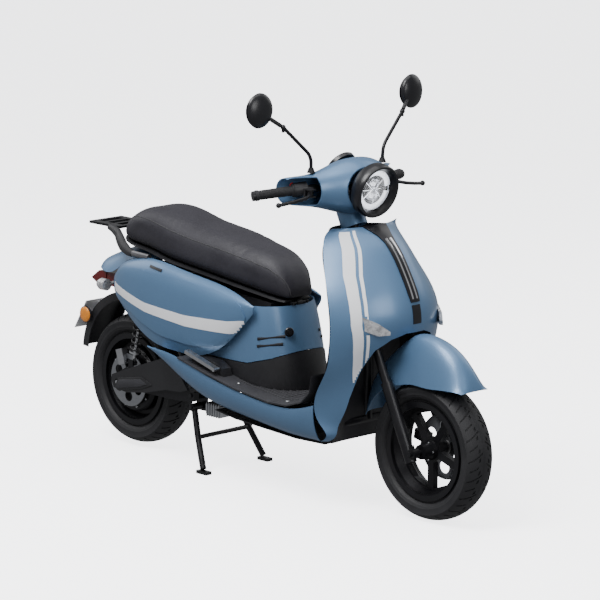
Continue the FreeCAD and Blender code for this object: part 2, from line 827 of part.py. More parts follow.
def inner_leg_shield():
    rows = [(926, 322, 424, 146), (873, 330, 414, 178), (800, 360, 452, 205),
            (744, 388, 484, 226), (658, 403, 514, 243), (560, 406, 510, 243),
            (476, 418, 486, 236)]
    back = [bowed(c, e - 3, w - 4, 2.4, z) for z, c, e, w in rows]
    ahead = [bowed(c, e - 3, w - 4, 2.4, z, -wall) for z, c, e, w in rows]
    return made("inner_leg_shield", skin(back, ahead))


node("inner_leg_shield", inner_leg_shield())


def signal_lens():
    # A swept-back wedge in the corner of the apron: side, front x, low z, high z.
    rows = [(194, 560, 650, 686), (168, 612, 628, 672), (146, 648, 616, 656),
            (122, 676, 620, 632)]
    lens = [[(front(x), side, low), (front(x), side, high), (front(x - 16), side, high + 2),
             (front(x - 16), side, low - 2)] for side, x, low, high in rows]
    return made("front_signal", block_of(lens, True))


front_signals = pair("front_signals", signal_lens())
node("front_apron", front_apron())


# ------------------------------------------------------------------ floor
floor_half = size.floor_width / 2
floor_top = [(-244, 422), (-138, 397), (39, 361), (212, 341), (300, 344), (370, 366),
             (412, 406), (422, 462)]


def floor_board():
    top = [(middle(x), z) for x, z in floor_top]
    under = [(x, z - size.floor_thickness) for x, z in reversed(top)]
    return sawn("floor_board", top + under, size.floor_width)


node("floor_board", floor_board())


def side_skirt():
    rows = [(-405, 436, 424), (-330, 430, 378), (-250, 418, 334), (-138, 388, 291),
            (39, 352, 262), (212, 332, 243), (331, 336, 236), (425, 362, 236)]
    outer, inner = [], []
    half = floor_half - 6
    for x, high, low in rows:
        places = [(0, 0), (1.5, 0.12), (0, 0.35), (-8, 0.65), (-22, 0.9), (-34, 1)]
        for thick, target in ((0, outer), (wall, inner)):
            target.append([(middle(x), half + shift - thick, high + (low - high) * share)
                           for shift, share in places])
    return made("side_skirt", skin(outer, inner))


node("side_skirts", pair("side_skirts", side_skirt()))


def belly_pan():
    outline = [(middle(-100), 252), (middle(0), 238), (front(300), 222), (front(440), 226),
               (front(440), 229), (front(300), 225), (middle(0), 241), (middle(-100), 255)]
    return sawn("belly_pan", outline, 2 * (floor_half - 46))


node("belly_pan", belly_pan())
battery_length = 360
battery = box("battery_case", battery_length, 2 * (rail_side - size.rail_radius) - 16, 56,
              (middle(160), 0, 296))
node("battery_pack", battery)
controller_z = 236


def controller():
    # A finned box hung under the floor on the right.
    base = box("controller_base", 76, 54, 34, (rear(-152), -126, controller_z))
    fins = [box("fin_%d" % step, 4, 60, 46, (rear(-182 + 12 * step), -126, controller_z))
            for step in range(6)]
    return fuse("motor_controller", base, *fins)


node("motor_controller", controller())


def footpeg_block():
    outline = [(middle(-205), 413), (middle(-138), 398), (middle(-44), 379), (middle(-52), 404),
               (middle(-90), 424), (middle(-150), 428), (middle(-200), 424)]
    return sawn("peg_block", outline, 42, (0, 182, 0))


peg_blocks = pair("footpeg_blocks", footpeg_block())
peg_hinge = (middle(-214), 217, 444)
peg_end = (middle(-66), 217, 404)


def footpeg(name):
    turn = toward(peg_hinge, peg_end)
    way = turn.multVec(UP)
    length = (point(peg_end) - point(peg_hinge)).Length
    rod = doc.addObject("Part::Box", name + "_bar")
    bind(rod, "Length", 12)
    bind(rod, "Width", 22)
    bind(rod, "Height", length)
    corner = point(peg_hinge) - turn.multVec(vec(6, 11, 0))
    start = [whole(middle(-214)) + (corner.x - point(peg_hinge).x), corner.y, corner.z]
    place(rod, start, turn)
    nose = cylinder(name + "_nose", 7, 24, (peg_end[0], 206, 404), across)
    bore_way = turn.multVec(vec(1, 0, 0))
    eye = point(peg_hinge) + way * 9 - bore_way * 20
    shift = eye - point(peg_hinge)
    hole = cylinder(name + "_hole", 3.2, 40,
                    (peg_hinge[0] + shift.x, eye.y, eye.z),
                    FreeCAD.Rotation(UP, bore_way))
    return cut(name, fuse(name + "_solid", rod, nose), hole), bore_way, point(peg_hinge) + way * 9


left_peg, peg_axis, peg_eye = footpeg("peg")
node("footpeg_left", left_peg)
node("footpeg_right", mirror("footpeg_right", left_peg))


# ------------------------------------------------------------------ seat post and flanks
post_seam = [(-240, 427), (20, 431), (110, 455), (172, 482)]


def post_row(x_side, x_nose, half, rise, thick=0):
    # A level row round the seat post: forward along one side, round the nose and back.
    half, x_nose = half - thick, x_nose - thick
    right = [(-240, -half, rise), ((x_side - 240) / 2, -half, rise)]
    for turn in (90, 68, 46, 24):
        ahead, out = math.cos(math.radians(turn)), math.sin(math.radians(turn))
        right.append((x_side + (x_nose - x_side) * ahead, -half * out, rise))
    left = [(x, -side, up) for x, side, up in reversed(right)]
    return [(middle(x), side, up) for x, side, up in right + [(x_nose, 0, rise)] + left]


def post_skin(rows, lines, grow=0):
    # The post's wall, trimmed below or above by lines across it.
    rows = [(side, nose + grow, half + grow, rise) for side, nose, half, rise in rows]
    shell = skin([post_row(*row) for row in rows], [post_row(*row, thick=wall) for row in rows])
    for line, far in lines:
        outline = [(middle(x), -200, z) for x, z in line]
        outline += [(middle(300), -200, far), (middle(-300), -200, far)]
        shell = shell.cut(pushed(outline, vec(0, 400, 0)))
    return shell


post_rows = [(36, 186, 151, 330), (33, 176, 151, 420), (24, 156, 150, 500), (10, 138, 148, 570),
             (-4, 120, 142, 626)]
above_seam = [(-300, 427)] + post_seam + [(300, 520)]
below_seam = [(x, z - 3) for x, z in above_seam]
floor_line = [(-300, 436), (-138, 398.5), (39, 362.5), (212, 343), (300, 342)]
node("seat_post_cowl", made("seat_post_cowl", post_skin(post_rows, [(above_seam, 300)])))
post_base = made("post_base", post_skin(post_rows[:3], [(below_seam, 700), (floor_line, 200)], 2))
node("seat_post_base", group("seat_post_base", post_base, peg_blocks))


rack_half = size.rack_width / 2
rack_top = 795
rack_thick = 9
rack_middle = -813
rack_length = 165
arm_path = [(rear(-790), rack_half - 8, rack_top - 6), (rear(-716), rack_half + 21, rack_top - 17),
            (rear(-652), 126, 738), (rear(-580), 136, 722), (rear(-500), 138, 720)]


def side_cover():
    rows = [(-706, 618, 574, 118), (-650, 680, 540, 152), (-560, 712, 488, 176),
            (-453, 722, 442, 190), (-300, 706, 424, 196), (-172, 690, 432, 196),
            (-60, 668, 488, 187), (10, 648, 552, 174), (58, 630, 606, 160)]
    crown = [(-44, 0), (-22, 0.05), (-7, 0.16), (0, 0.34), (2, 0.5), (0, 0.68), (-6, 0.86),
             (-16, 1)]
    outer, inner = [], []
    for x, high, low, half in rows:
        depth = min(1, (high - low) / 200)
        for thick, target in ((0, outer), (wall, inner)):
            target.append([(rear(x), half + shift * depth - thick,
                            high + (low - high) * share - thick * (1 - 2 * share))
                           for shift, share in crown])
    return made("side_cover", skin(outer, inner).cut(bent_rod(arm_path, 9 + size.running_gap, 40)))


node("side_covers", pair("side_covers", side_cover()))


def tail_cowl():
    rows = [(-500, 130, 708, 726), (-560, 125, 700, 731), (-640, 114, 690, 734),
            (-742, 98, 634, 708), (-812, 84, 628, 680), (-850, 62, 632, 662)]
    outer, inner = [], []
    for x, half, low, high in rows:
        for thick, target in ((0, outer), (wall, inner)):
            target.append([(rear(x), share * (half - thick),
                            low + (high - low - thick) * (1 - abs(share) ** 3.2))
                           for share in shares])
    return made("tail_cowl", skin(outer, inner))


node("tail_cowl", tail_cowl())
lamp_case = sawn("tail_light_case", [
    (rear(-730), 620), (rear(-800), 622), (rear(-806), 574), (rear(-760), 572)], 150)
lamp_glass = sawn("tail_light_glass", [
    (rear(-801), 622), (rear(-842), 622), (rear(-884), 592), (rear(-852), 574),
    (rear(-807), 574)], 156)
node("tail_light", group("tail_light", lamp_case, lamp_glass))


def rear_signal():
    stalk = rod_between("signal_stalk", 6, (rear(-748), 76, 592), (rear(-748), 112, 592))
    pod = cylinder("signal_pod", 21, 30, (rear(-768), 128, 590), lengthways)
    dome = cone("signal_dome", 15, 21, 12, (rear(-780), 128, 590), lengthways)
    return fuse("rear_signal", stalk, pod, dome)


node("signal_lamps", group("signal_lamps", front_signals, pair("rear_signals", rear_signal())))
guard_centre = (rear_x, 0, rear_z + 62)
guard_radius = size.tyre_radius + 18
node("rear_fender", arch_guard("rear_fender", guard_centre, float(guard_radius),
                               float(guard_radius) + wall, float(tyre_half) + 9, 26, -84, 66))
plate_low_x = rear_x - size.rear_overhang
blank_plate = sawn("blank_plate", [
    (plate_low_x, 393), (plate_low_x + 67, 500), (plate_low_x + 69.2, 498.6),
    (plate_low_x + 2.2, 391.6)], size.plate_width)
bracket = sawn("plate_bracket", [
    (plate_low_x + 50, 424), (plate_low_x + 36, 434), (plate_low_x + 64, 478),
    (plate_low_x + 92, 473)], 40)
node("number_plate", group("number_plate", blank_plate, bracket))

# ------------------------------------------------------------------ under the seat
tub_half = rail_side - size.rail_radius - 8


def storage_tub():
    high = 690
    outside = block_of([
        [(rear(-330), -tub_half, 500), (rear(40), -tub_half, 470), (rear(40), tub_half, 470),
         (rear(-330), tub_half, 500)],
        [(rear(-360), -tub_half, high - 20), (rear(70), -tub_half, 634),
         (rear(70), tub_half, 634), (rear(-360), tub_half, high - 20)]], True)
    inner = float(tub_half) - wall
    inside = block_of([
        [(rear(-327), -inner, 503), (rear(37), -inner, 473), (rear(37), inner, 473),
         (rear(-327), inner, 503)],
        [(rear(-357), -inner, high - 19), (rear(67), -inner, 635), (rear(67), inner, 635),
         (rear(-357), inner, high - 19)]], True)
    ear = box("tub_ear", 62, 4, 11, (seat_pivot[0] - 24, 32, seat_pivot[2] - 0.5))
    bore = crossbar("tub_ear_bore", seat_pin_radius, 60, seat_pivot[0], seat_pivot[2])
    walls = made("tub_walls", outside.cut(inside))
    return cut("storage_tub", fuse("tub_solid", walls, ear, mirror("tub_ear_right", ear)), bore)


seat_pivot = (rear(118), 0, 634)
seat_pin_radius = 4
node("storage_tub", storage_tub())
seat_sections = [
    # x, underside, top, half width
    (-712, 772, 789, 62), (-690, 762, 822, 88), (-640, 752, 858, 108), (-528, 744, 884, 128),
    (-420, 724, 868, 134), (-338, 714, 852, 134), (-168, 694, 828, 130), (-42, 674, 804, 116),
    (50, 656, 780, 94), (108, 646, 728, 70), (130, 644, 678, 50)]


def seat_solid(name, low_share, high_share, tuck):
    rings = []
    for x, low, high, half in seat_sections:
        half = (half - tuck) * float(size.seat_width) / 268
        bottom = low + (high - low) * low_share
        top = low + (high - low) * high_share
        outline = [(-0.84, 0), (-0.98, 0.14), (-1, 0.45), (-0.9, 0.78), (-0.62, 0.96), (0, 1),
                   (0.62, 0.96), (0.9, 0.78), (1, 0.45), (0.98, 0.14), (0.84, 0)]
        over = curve([point((rear(x), a * half, bottom + b * (top - bottom)))
                      for a, b in outline])
        under = Part.LineSegment(point((rear(x), 0.84 * half, bottom)),
                                 point((rear(x), -0.84 * half, bottom))).toShape()
        rings.append(Part.Wire([over, under]))
    return made(name, Part.makeLoft(rings, True))


def seat_base():
    rings = []
    for x, low, high, half in seat_sections:
        half = (half - 8) * float(size.seat_width) / 268
        rings.append([(rear(x), -half, low - 7), (rear(x), half, low - 7),
                      (rear(x), half * 0.86, low - 2), (rear(x), -half * 0.86, low - 2)])
    pan = made("seat_pan", block_of(rings[:-1]))
    knuckle = crossbar("seat_knuckle", 7, 12, seat_pivot[0], seat_pivot[2])
    tongue = box("seat_tongue", 20, 24, 5, (seat_pivot[0] - 9, 0, seat_pivot[2] + 6.5))
    bore = crossbar("knuckle_bore", seat_pin_radius + 0.1, 20, seat_pivot[0], seat_pivot[2])
    return cut("seat_base", fuse("seat_base_solid", pan, knuckle, tongue), bore)


node("seat_cushion", seat_solid("seat_cushion", 0, 1, 0))
node("seat_base", seat_base())
seat_pin = crossbar("seat_hinge_pin", seat_pin_radius, 40, seat_pivot[0], seat_pivot[2])
node("pivot_bolts", group("pivot_bolts", pivot_bolt, stand_bolt, shock_bolts, seat_pin))

# ------------------------------------------------------------------ rack
def luggage_rack():
    plate = box("rack_plate", rack_length, size.rack_width, rack_thick,
                (rear(rack_middle), 0, rack_top - rack_thick / 2))
    slots = [box("rack_slot_%d" % step, 34, size.rack_width - 56, 30,
                 (rear(rack_middle + 49 * step - 49), 0, rack_top - rack_thick / 2))
             for step in range(3)]
    corners = ((-1, -1), (-1, 1), (1, -1), (1, 1))
    holes = [cylinder("rack_hole_%d" % step, 3.3, 30,
                      (rear(rack_middle) + ahead * 67, side * (rack_half - 14), rack_top - 20))
             for step, (ahead, side) in enumerate(corners)]
    arm = made("rack_arm", bent_rod(arm_path, 9, 40))
    tidy = cut("rack_plate_cut", plate, *(slots + holes))
    return fuse("luggage_rack", tidy, arm, mirror("rack_arm_right", arm))


node("luggage_rack", luggage_rack())

# ------------------------------------------------------------------ handlebar
bar_middle = steer(bar_along)
bar_half = size.handlebar_width / 2
grip_inner = bar_half - size.grip_length - 6
grip_start = (front(315), grip_inner, 1064)
grip_stop = (front(258), bar_half, 1052)


def along_grip(share, side=1):
    # A point on the grip's axis, from its inner end (0) to its outer end (1).
    start, stop = point(grip_start), point(grip_stop)
    spot = start + (stop - start) * share
    return (grip_start[0] + (spot.x - start.x), spot.y * side, spot.z)


def handlebar():
    left = made("bar_half", bent_rod([
        bar_middle, (bar_middle[0] + 12, 90, 1058), along_grip(-0.5), grip_stop],
        size.bar_radius, 60))
    clamp = cylinder("bar_clamp", 19, 34, steer(bar_along - 20), raked)
    weld = crossbar("bar_weld", size.bar_radius, 20, bar_middle[0], bar_middle[2])
    return left, weld, clamp


bar_left, bar_weld, bar_clamp = handlebar()


def grip(side):
    start, stop = along_grip(0.06, side), along_grip(1, side)
    turn = toward(start, stop)
    length = (point(stop) - point(start)).Length
    return tube("grip", size.grip_radius, size.bar_radius + 0.1, length - 4, start, turn)


node("left_grip", grip(1))
node("throttle_grip", grip(-1))
bar_end = cylinder("bar_end", size.grip_radius, 8, along_grip(1), toward(grip_start, grip_stop))
node("handlebar", fuse("handlebar", bar_left, mirror("bar_right", bar_left), bar_weld, bar_clamp,
                       bar_end, mirror("bar_end_right", bar_end)))


# name, radius, share along the grip, side, direction round the bar
buttons = [("kill_switch", 8, -0.06, -1, 150), ("horn_button", 7, -0.06, 1, 205),
           ("signal_switch", 6, -0.06, 1, 150)]
pod_radius = 24


def button(name, radius, share, side, direction, low, high):
    # A round button square to the pod's face, from one distance off the bar to another.
    spot = along_grip(share, side)
    out = vec(math.cos(math.radians(direction)), 0, math.sin(math.radians(direction)))
    return cylinder(name, radius, high - low,
                    (spot[0] + low * out.x, spot[1], spot[2] + low * out.z),
                    FreeCAD.Rotation(UP, out))


def switch_pod(side):
    start, stop = along_grip(-0.3, side), along_grip(0.03, side)
    turn = toward(start, stop)
    length = (point(stop) - point(start)).Length
    name = "pod_left" if side > 0 else "pod_right"
    pod = tube(name, pod_radius, size.bar_radius + 0.1, length, start, turn)
    wells = [button(row[0] + "_well", row[1] + size.running_gap, row[2], side, row[4], 16, 40)
             for row in buttons if row[3] == side]
    return cut(name + "_drilled", pod, *wells)


for row in buttons:
    node(row[0], button(*row, 20, pod_radius + 6))
cowl_sections = [
    # side, middle x, middle z, half length, half height
    (-238, 296, 1062, 40, 42), (-175, 342, 1062, 50, 53), (-120, 366, 1064, 62, 68),
    (-60, 383, 1066, 85, 87), (0, 387, 1066, 90, 93), (60, 383, 1066, 85, 87),
    (120, 366, 1064, 62, 68), (175, 342, 1062, 50, 53), (238, 296, 1062, 40, 42)]


def cowl_solid(thick, beyond):
    rings = []
    for side, x, z, length, height in cowl_sections:
        side = side + math.copysign(beyond, side) if abs(side) == 238 else side
        rings.append(oval_ring((front(x), z), length - thick, height - thick, side))
    return Part.makeLoft(rings, True)


def handlebar_cowl():
    # Each wing ends in a slanted mouth that the grip and the lever come out of.
    shell = cowl_solid(0, 0).cut(cowl_solid(wall, 4))
    face = Part.makeBox(200, 260, 240, point((front(446.5), -130, 950)))
    neck = Part.makeCylinder(46, 90, point(steer(780)), steer_axis)
    shell = shell.cut(face).cut(neck)
    for side in (-1, 1):
        mouth = [(front(372), side * 164, 960), (front(312), side * 238, 960),
                 (front(480), side * 238, 960), (front(480), side * 164, 960)]
        shell = shell.cut(pushed(mouth, vec(0, 0, 200)))
    return made("cowl_shell", shell)


node("handlebar_cowl", group("handlebar_cowl", handlebar_cowl(),
                             tube("neck_cover", 45, 41, 62, steer(784), raked)))
lamp_tilt = FreeCAD.Rotation(LEFT, 102)
lamp = (front(457), 0, 1064)
lamp_way = lamp_tilt.multVec(UP)


def on_lamp(ahead):
    return (lamp[0] + ahead * lamp_way.x, 0, lamp[2] + ahead * lamp_way.z)


node("headlight_bezel", tube("headlight_bezel", 91, 79, 34, on_lamp(8), lamp_tilt))


def headlight_unit():
    back = cylinder("lamp_back", 78, 12, on_lamp(4), lamp_tilt)
    barrel = cylinder("lamp_barrel", 48, 24, on_lamp(-16), lamp_tilt)
    low = tube("projector_low", 27, 21, 16, (on_lamp(14)[0] - 7, 0, on_lamp(14)[2] - 31),
               lamp_tilt)
    high = tube("projector_high", 27, 21, 16, (on_lamp(14)[0] + 7, 0, on_lamp(14)[2] + 31),
                lamp_tilt)
    return fuse("lamp_body", back, barrel, low, high)


lens = cylinder("lamp_lens", 78.5, 4, on_lamp(34), lamp_tilt)
node("headlight_unit", group("headlight_unit", headlight_unit(), lens))

# ------------------------------------------------------------------ levers and buttons
lever_pivot = (front(368), bar_half - 146, 1058)


def lever_perch():
    arm = rod_between("perch_arm", 9, (front(328), bar_half - 150, 1064),
                      (front(350), bar_half - 148, 1060))
    top = box("perch_top", 26, 26, 4, (lever_pivot[0], lever_pivot[1], 1070))
    low = box("perch_low", 26, 26, 4, (lever_pivot[0], lever_pivot[1], 1046))
    web = box("perch_web", 8, 26, 28, (lever_pivot[0] - 15, lever_pivot[1], 1058))
    pin = cylinder("perch_pin", 3.5, 30, (lever_pivot[0], lever_pivot[1], 1043))
    collar = cylinder("perch_collar", size.bar_radius + 0.1, 60,
                      along_grip(-0.4), toward(grip_start, grip_stop))
    return cut("perch", fuse("perch_solid", arm, top, low, web, pin), collar)


node("bar_controls", group("bar_controls", switch_pod(1), switch_pod(-1),
                           pair("lever_perches", lever_perch())))


def brake_lever(name):
    x, y, z = lever_pivot
    blade = made(name + "_blade", bent_rod([
        (x + 2, y + 6, z), (x + 26, y + 34, z - 8), (x + 18, y + 90, z - 17),
        (x + 3, bar_half - 6, z - 24)], 6, 40))
    knob = ball(name + "_knob", 9, (x + 2, bar_half - 2, z - 24))
    eye = cylinder(name + "_eye", 10, 18, (x, y, z - 9))
    hole = cylinder(name + "_hole", 3.7, 40, (x, y, z - 20))
    return cut(name, fuse(name + "_solid", blade, knob, eye), hole)


left_lever = brake_lever("brake_lever")
node("brake_lever_left", left_lever)
node("brake_lever_right", mirror("brake_lever_right", left_lever))


# ------------------------------------------------------------------ mirrors
mirror_joint = (front(330), 274, 1280)
mirror_middle = (front(297), 350, 1338)


def mirror_stem():
    foot = cone("mirror_foot", 14, 8, 16, (front(346), 164, 1121))
    stem = made("mirror_rod", bent_rod([
        (front(346), 164, 1124), (front(348), 166, 1176), mirror_joint], 6, 60))
    nut = cylinder("mirror_nut", 5, 12, (mirror_joint[0], mirror_joint[1], mirror_joint[2] - 17))
    return fuse("mirror_stem", foot, stem, nut, ball("mirror_ball", 9, mirror_joint))


def mirror_head():
    turn = FreeCAD.Rotation(UP, vec(-1, -0.12, 0))
    bowl = doc.addObject("Part::Ellipsoid", "mirror_bowl")
    bind(bowl, "Radius1", 24)
    bind(bowl, "Radius2", size.mirror_radius)
    bind(bowl, "Radius3", size.mirror_radius * 0.9)
    place(bowl, mirror_middle, turn)
    trim = box("mirror_trim", 80, 200, 200, (mirror_middle[0] - 40, 350, 1338))
    arm = rod_between("mirror_arm", 7, (mirror_joint[0] - 4, 281, 1285),
                      (mirror_middle[0] + 8, 325, 1318))
    socket = ball("mirror_socket", 9.5, mirror_joint)
    return cut("mirror_head", fuse("mirror_solid", cut("mirror_half", bowl, trim), arm), socket)


def mirror_glass():
    return cylinder("mirror_glass", size.mirror_radius * 0.86, 3,
                    (mirror_middle[0] - 3.2, 350, 1338), lengthways)


node("mirror_stems", pair("mirror_stems", mirror_stem()))
left_head = group("mirror_left_pieces", mirror_head(), mirror_glass())
node("mirror_left", left_head)
node("mirror_right", mirror("mirror_right", left_head))

# ------------------------------------------------------------------ locks
lock_way = vec(0.918, -0.395, 0)
node("seat_lock", cylinder("seat_lock", 11, 12, (middle(135.5), -67, 543),
                           FreeCAD.Rotation(UP, lock_way)))
ignition_way = vec(-0.887, -0.247, -0.389)
node("ignition_lock", cylinder("ignition_lock", 14, 18, (front(344), -70.5, 849),
                               FreeCAD.Rotation(UP, ignition_way)))

# ------------------------------------------------------------------ checks and files
doc.recompute()
for thing in doc.Objects:
    if "Invalid" in thing.State or "Error" in thing.State:
        raise SystemExit("failed: %s %s" % (thing.Name, thing.State))
bad = [thing.Label for thing in nodes
       if thing.Shape.isNull() or not thing.Shape.isValid() or not thing.Shape.Solids]
if bad:
    raise SystemExit("bad shapes: %s" % bad)
os.makedirs("parts", exist_ok=True)
for thing in nodes:
    thing.Shape.exportStep("parts/%s.step" % thing.Label)
whole_box = FreeCAD.BoundBox()
for thing in nodes:
    whole_box.add(thing.Shape.BoundBox)
print(len(nodes), "pieces;", whole_box)
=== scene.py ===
import bpy
import bmesh
import math
from mathutils import Vector, Matrix
from mathutils.bvhtree import BVHTree


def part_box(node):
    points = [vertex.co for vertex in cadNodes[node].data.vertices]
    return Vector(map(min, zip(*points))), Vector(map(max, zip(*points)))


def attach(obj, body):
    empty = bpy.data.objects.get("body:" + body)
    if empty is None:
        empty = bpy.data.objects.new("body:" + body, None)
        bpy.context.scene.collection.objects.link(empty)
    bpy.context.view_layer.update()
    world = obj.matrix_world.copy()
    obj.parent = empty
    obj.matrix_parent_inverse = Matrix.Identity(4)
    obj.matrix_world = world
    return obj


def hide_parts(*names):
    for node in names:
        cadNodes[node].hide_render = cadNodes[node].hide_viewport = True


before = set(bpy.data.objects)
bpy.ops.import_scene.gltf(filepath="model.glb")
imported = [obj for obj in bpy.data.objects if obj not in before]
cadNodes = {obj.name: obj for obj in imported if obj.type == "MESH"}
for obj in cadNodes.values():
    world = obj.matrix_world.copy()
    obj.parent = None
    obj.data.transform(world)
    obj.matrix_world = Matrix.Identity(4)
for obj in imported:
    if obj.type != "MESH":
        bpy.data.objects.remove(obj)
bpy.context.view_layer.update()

scene = bpy.context.scene
print("frame loaded:", len(cadNodes), "nodes")

# ---- tools that every piece below is made with


def clearSelection():
    for other in list(bpy.context.selected_objects):
        other.select_set(False)


def makeActive(piece):
    clearSelection()
    piece.select_set(True)
    bpy.context.view_layer.objects.active = piece


def startPiece(kind, name, **how):
    clearSelection()
    getattr(bpy.ops.mesh, "primitive_" + kind + "_add")(**how)
    piece = bpy.context.object
    piece.name = name
    piece.data.name = name
    return piece


def edit(piece, mode="FACE", test=None):
    # opens the piece for editing with what the test accepts selected
    makeActive(piece)
    bpy.ops.object.mode_set(mode="EDIT")
    bpy.ops.mesh.select_mode(type=mode)
    bpy.ops.mesh.select_all(action="SELECT" if test is None else "DESELECT")
    if test is None:
        return
    work = bmesh.from_edit_mesh(piece.data)
    for part in {"FACE": work.faces, "VERT": work.verts, "EDGE": work.edges}[mode]:
        if test(part):
            part.select_set(True)
    work.select_flush_mode()
    bmesh.update_edit_mesh(piece.data)


def stopEditing():
    bpy.ops.object.mode_set(mode="OBJECT")


def settle(piece):
    makeActive(piece)
    bpy.ops.object.transform_apply(location=True, rotation=True, scale=True)


def modify(piece, kind, **values):
    makeActive(piece)
    modifier = piece.modifiers.new(kind.title(), kind)
    for word, value in values.items():
        setattr(modifier, word, value)
    bpy.ops.object.modifier_apply(modifier=modifier.name)


def paint(piece, material):
    piece.data.materials.clear()
    piece.data.materials.append(material)


def finish(piece, body, material, angle=35):
    settle(piece)
    bpy.ops.object.shade_smooth_by_angle(angle=math.radians(angle))
    paint(piece, material)
    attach(piece, body)
    return piece


def joined(name, pieces):
    makeActive(pieces[0])
    for piece in pieces[1:]:
        piece.select_set(True)
    if len(pieces) > 1:
        bpy.ops.object.join()
    pieces[0].name = name
    pieces[0].data.name = name
    return pieces[0]


def copied(piece, name, place):
    # a copy with its own mesh, moved by a 4x4 place
    other = piece.copy()
    other.data = piece.data.copy()
    scene.collection.objects.link(other)
    other.name = name
    other.data.name = name
    other.matrix_world = place @ other.matrix_world
    settle(other)
    return other


def mirrored(piece, name):
    other = copied(piece, name, Matrix.Scale(-1, 4, (0, 1, 0)))
    edit(other)
    bpy.ops.mesh.normals_make_consistent(inside=False)
    stopEditing()
    return other


def turnTo(axis, start=(0, 0, 1)):
    return Vector(start).rotation_difference(Vector(axis))


def placed(piece, centre, axis=(0, 0, 1), start=(0, 0, 1)):
    piece.matrix_world = Matrix.Translation(centre) @ turnTo(axis, start).to_matrix().to_4x4()
    settle(piece)
    return piece


def revolved(name, profile, centre, axis=(0, 1, 0), steps=64):
    # profile: (radius, distance along the axis) round a closed outline
    ring = startPiece("circle", name, vertices=len(profile), radius=0.01)
    for vertex, (radius, along) in zip(ring.data.vertices, profile):
        vertex.co = (radius, 0, along)
    edit(ring)
    bpy.ops.mesh.spin(steps=steps, angle=2 * math.pi, center=(0, 0, 0), axis=(0, 0, 1))
    bpy.ops.mesh.select_all(action="SELECT")
    bpy.ops.mesh.remove_doubles(threshold=0.00002)
    bpy.ops.mesh.normals_make_consistent(inside=False)
    stopEditing()
    return placed(ring, centre, axis)


def tubeAlong(name, places, radius, order=3, resolution=10, closed=False):
    clearSelection()
    bpy.ops.curve.primitive_nurbs_path_add()
    path = bpy.context.object
    path.data.splines.clear()
    line = path.data.splines.new("NURBS")
    line.points.add(len(places) - 1)
    for spot, place in zip(line.points, places):
        spot.co = (*place, 1)
    line.use_cyclic_u = closed
    line.order_u = order
    line.use_endpoint_u = not closed
    line.resolution_u = resolution
    path.data.bevel_depth = radius
    path.data.bevel_resolution = 3
    path.data.use_fill_caps = not closed
    makeActive(path)
    bpy.ops.object.convert(target="MESH")
    path.name = name
    path.data.name = name
    return path


def block(name, size, centre, bevel=0.002, turn=(0, 0, 0), segments=3):
    cube = startPiece("cube", name, size=1, location=centre, rotation=turn)
    cube.scale = size
    settle(cube)
    modify(cube, "BEVEL", width=bevel, segments=segments)
    return cube


def slab(name, outline, thickness, spot, axis=(0, 0, 1), bevel=0.001):
    # a flat outline (u, v) given a thickness; u, v lie in the plane square to axis
    flat = startPiece("circle", name, vertices=len(outline), radius=0.01, fill_type="NGON")
    for vertex, (across, up) in zip(flat.data.vertices, outline):
        vertex.co = (across, up, 0)
    edit(flat)
    bpy.ops.mesh.extrude_region_move(TRANSFORM_OT_translate={"value": (0, 0, thickness)})
    bpy.ops.mesh.select_all(action="SELECT")
    bpy.ops.mesh.normals_make_consistent(inside=False)
    stopEditing()
    if bevel:
        modify(flat, "BEVEL", width=bevel, segments=2, limit_method="ANGLE")
    return placed(flat, spot, axis)


def wrapped(name, target, place, way, columns=12, rows=40, lift=0.001, thickness=0.001):
    # a grid laid on a CAD node: place(u, v) gives each corner, way is the direction it falls
    sheet = startPiece("grid", name, x_subdivisions=columns, y_subdivisions=rows, size=1)
    for vertex in sheet.data.vertices:
        vertex.co = place(vertex.co.x + 0.5, vertex.co.y + 0.5)
    surface = cadNodes[target]
    before = [vertex.co.copy() for vertex in sheet.data.vertices]
    axis = max(range(3), key=lambda number: abs(way[number]))
    modify(sheet, "SHRINKWRAP", target=surface, wrap_method="PROJECT",
           use_project_x=axis == 0, use_project_y=axis == 1, use_project_z=axis == 2,
           use_negative_direction=way[axis] < 0, use_positive_direction=way[axis] > 0,
           offset=lift, wrap_mode="ABOVE_SURFACE")
    missed = {number for number, (vertex, start) in enumerate(zip(sheet.data.vertices, before))
              if (vertex.co - start).length < 1e-6}
    work = bmesh.new()
    work.from_mesh(sheet.data)
    work.verts.ensure_lookup_table()
    bmesh.ops.delete(work, geom=[work.verts[number] for number in missed], context="VERTS")
    steep = [edge for edge in work.edges if edge.calc_length() > 0.05]
    bmesh.ops.delete(work, geom=steep, context="EDGES")
    face = sum((f.normal for f in work.faces), Vector())
    if face.dot(Vector(way)) > 0:
        bmesh.ops.reverse_faces(work, faces=work.faces)
    work.to_mesh(sheet.data)
    work.free()
    modify(sheet, "SOLIDIFY", thickness=thickness, offset=1)
    return sheet


def smoothly(spots, value):
    # a value read between (key, value) spots
    spots = sorted(spots)
    if value <= spots[0][0]:
        return spots[0][1]
    for (low, first), (high, second) in zip(spots, spots[1:]):
        if value <= high:
            share = (value - low) / (high - low)
            return first + (second - first) * share
    return spots[-1][1]


def screw(name, centre, axis, radius=0.0045, height=0.003):
    head = revolved(name, [(0, 0), (radius, 0), (radius, height * 0.6), (radius * 0.8, height),
                           (radius * 0.5, height), (radius * 0.42, height * 0.35),
                           (0, height * 0.35)], centre, axis, 24)
    return head


# ---- camera, floor and soft lights

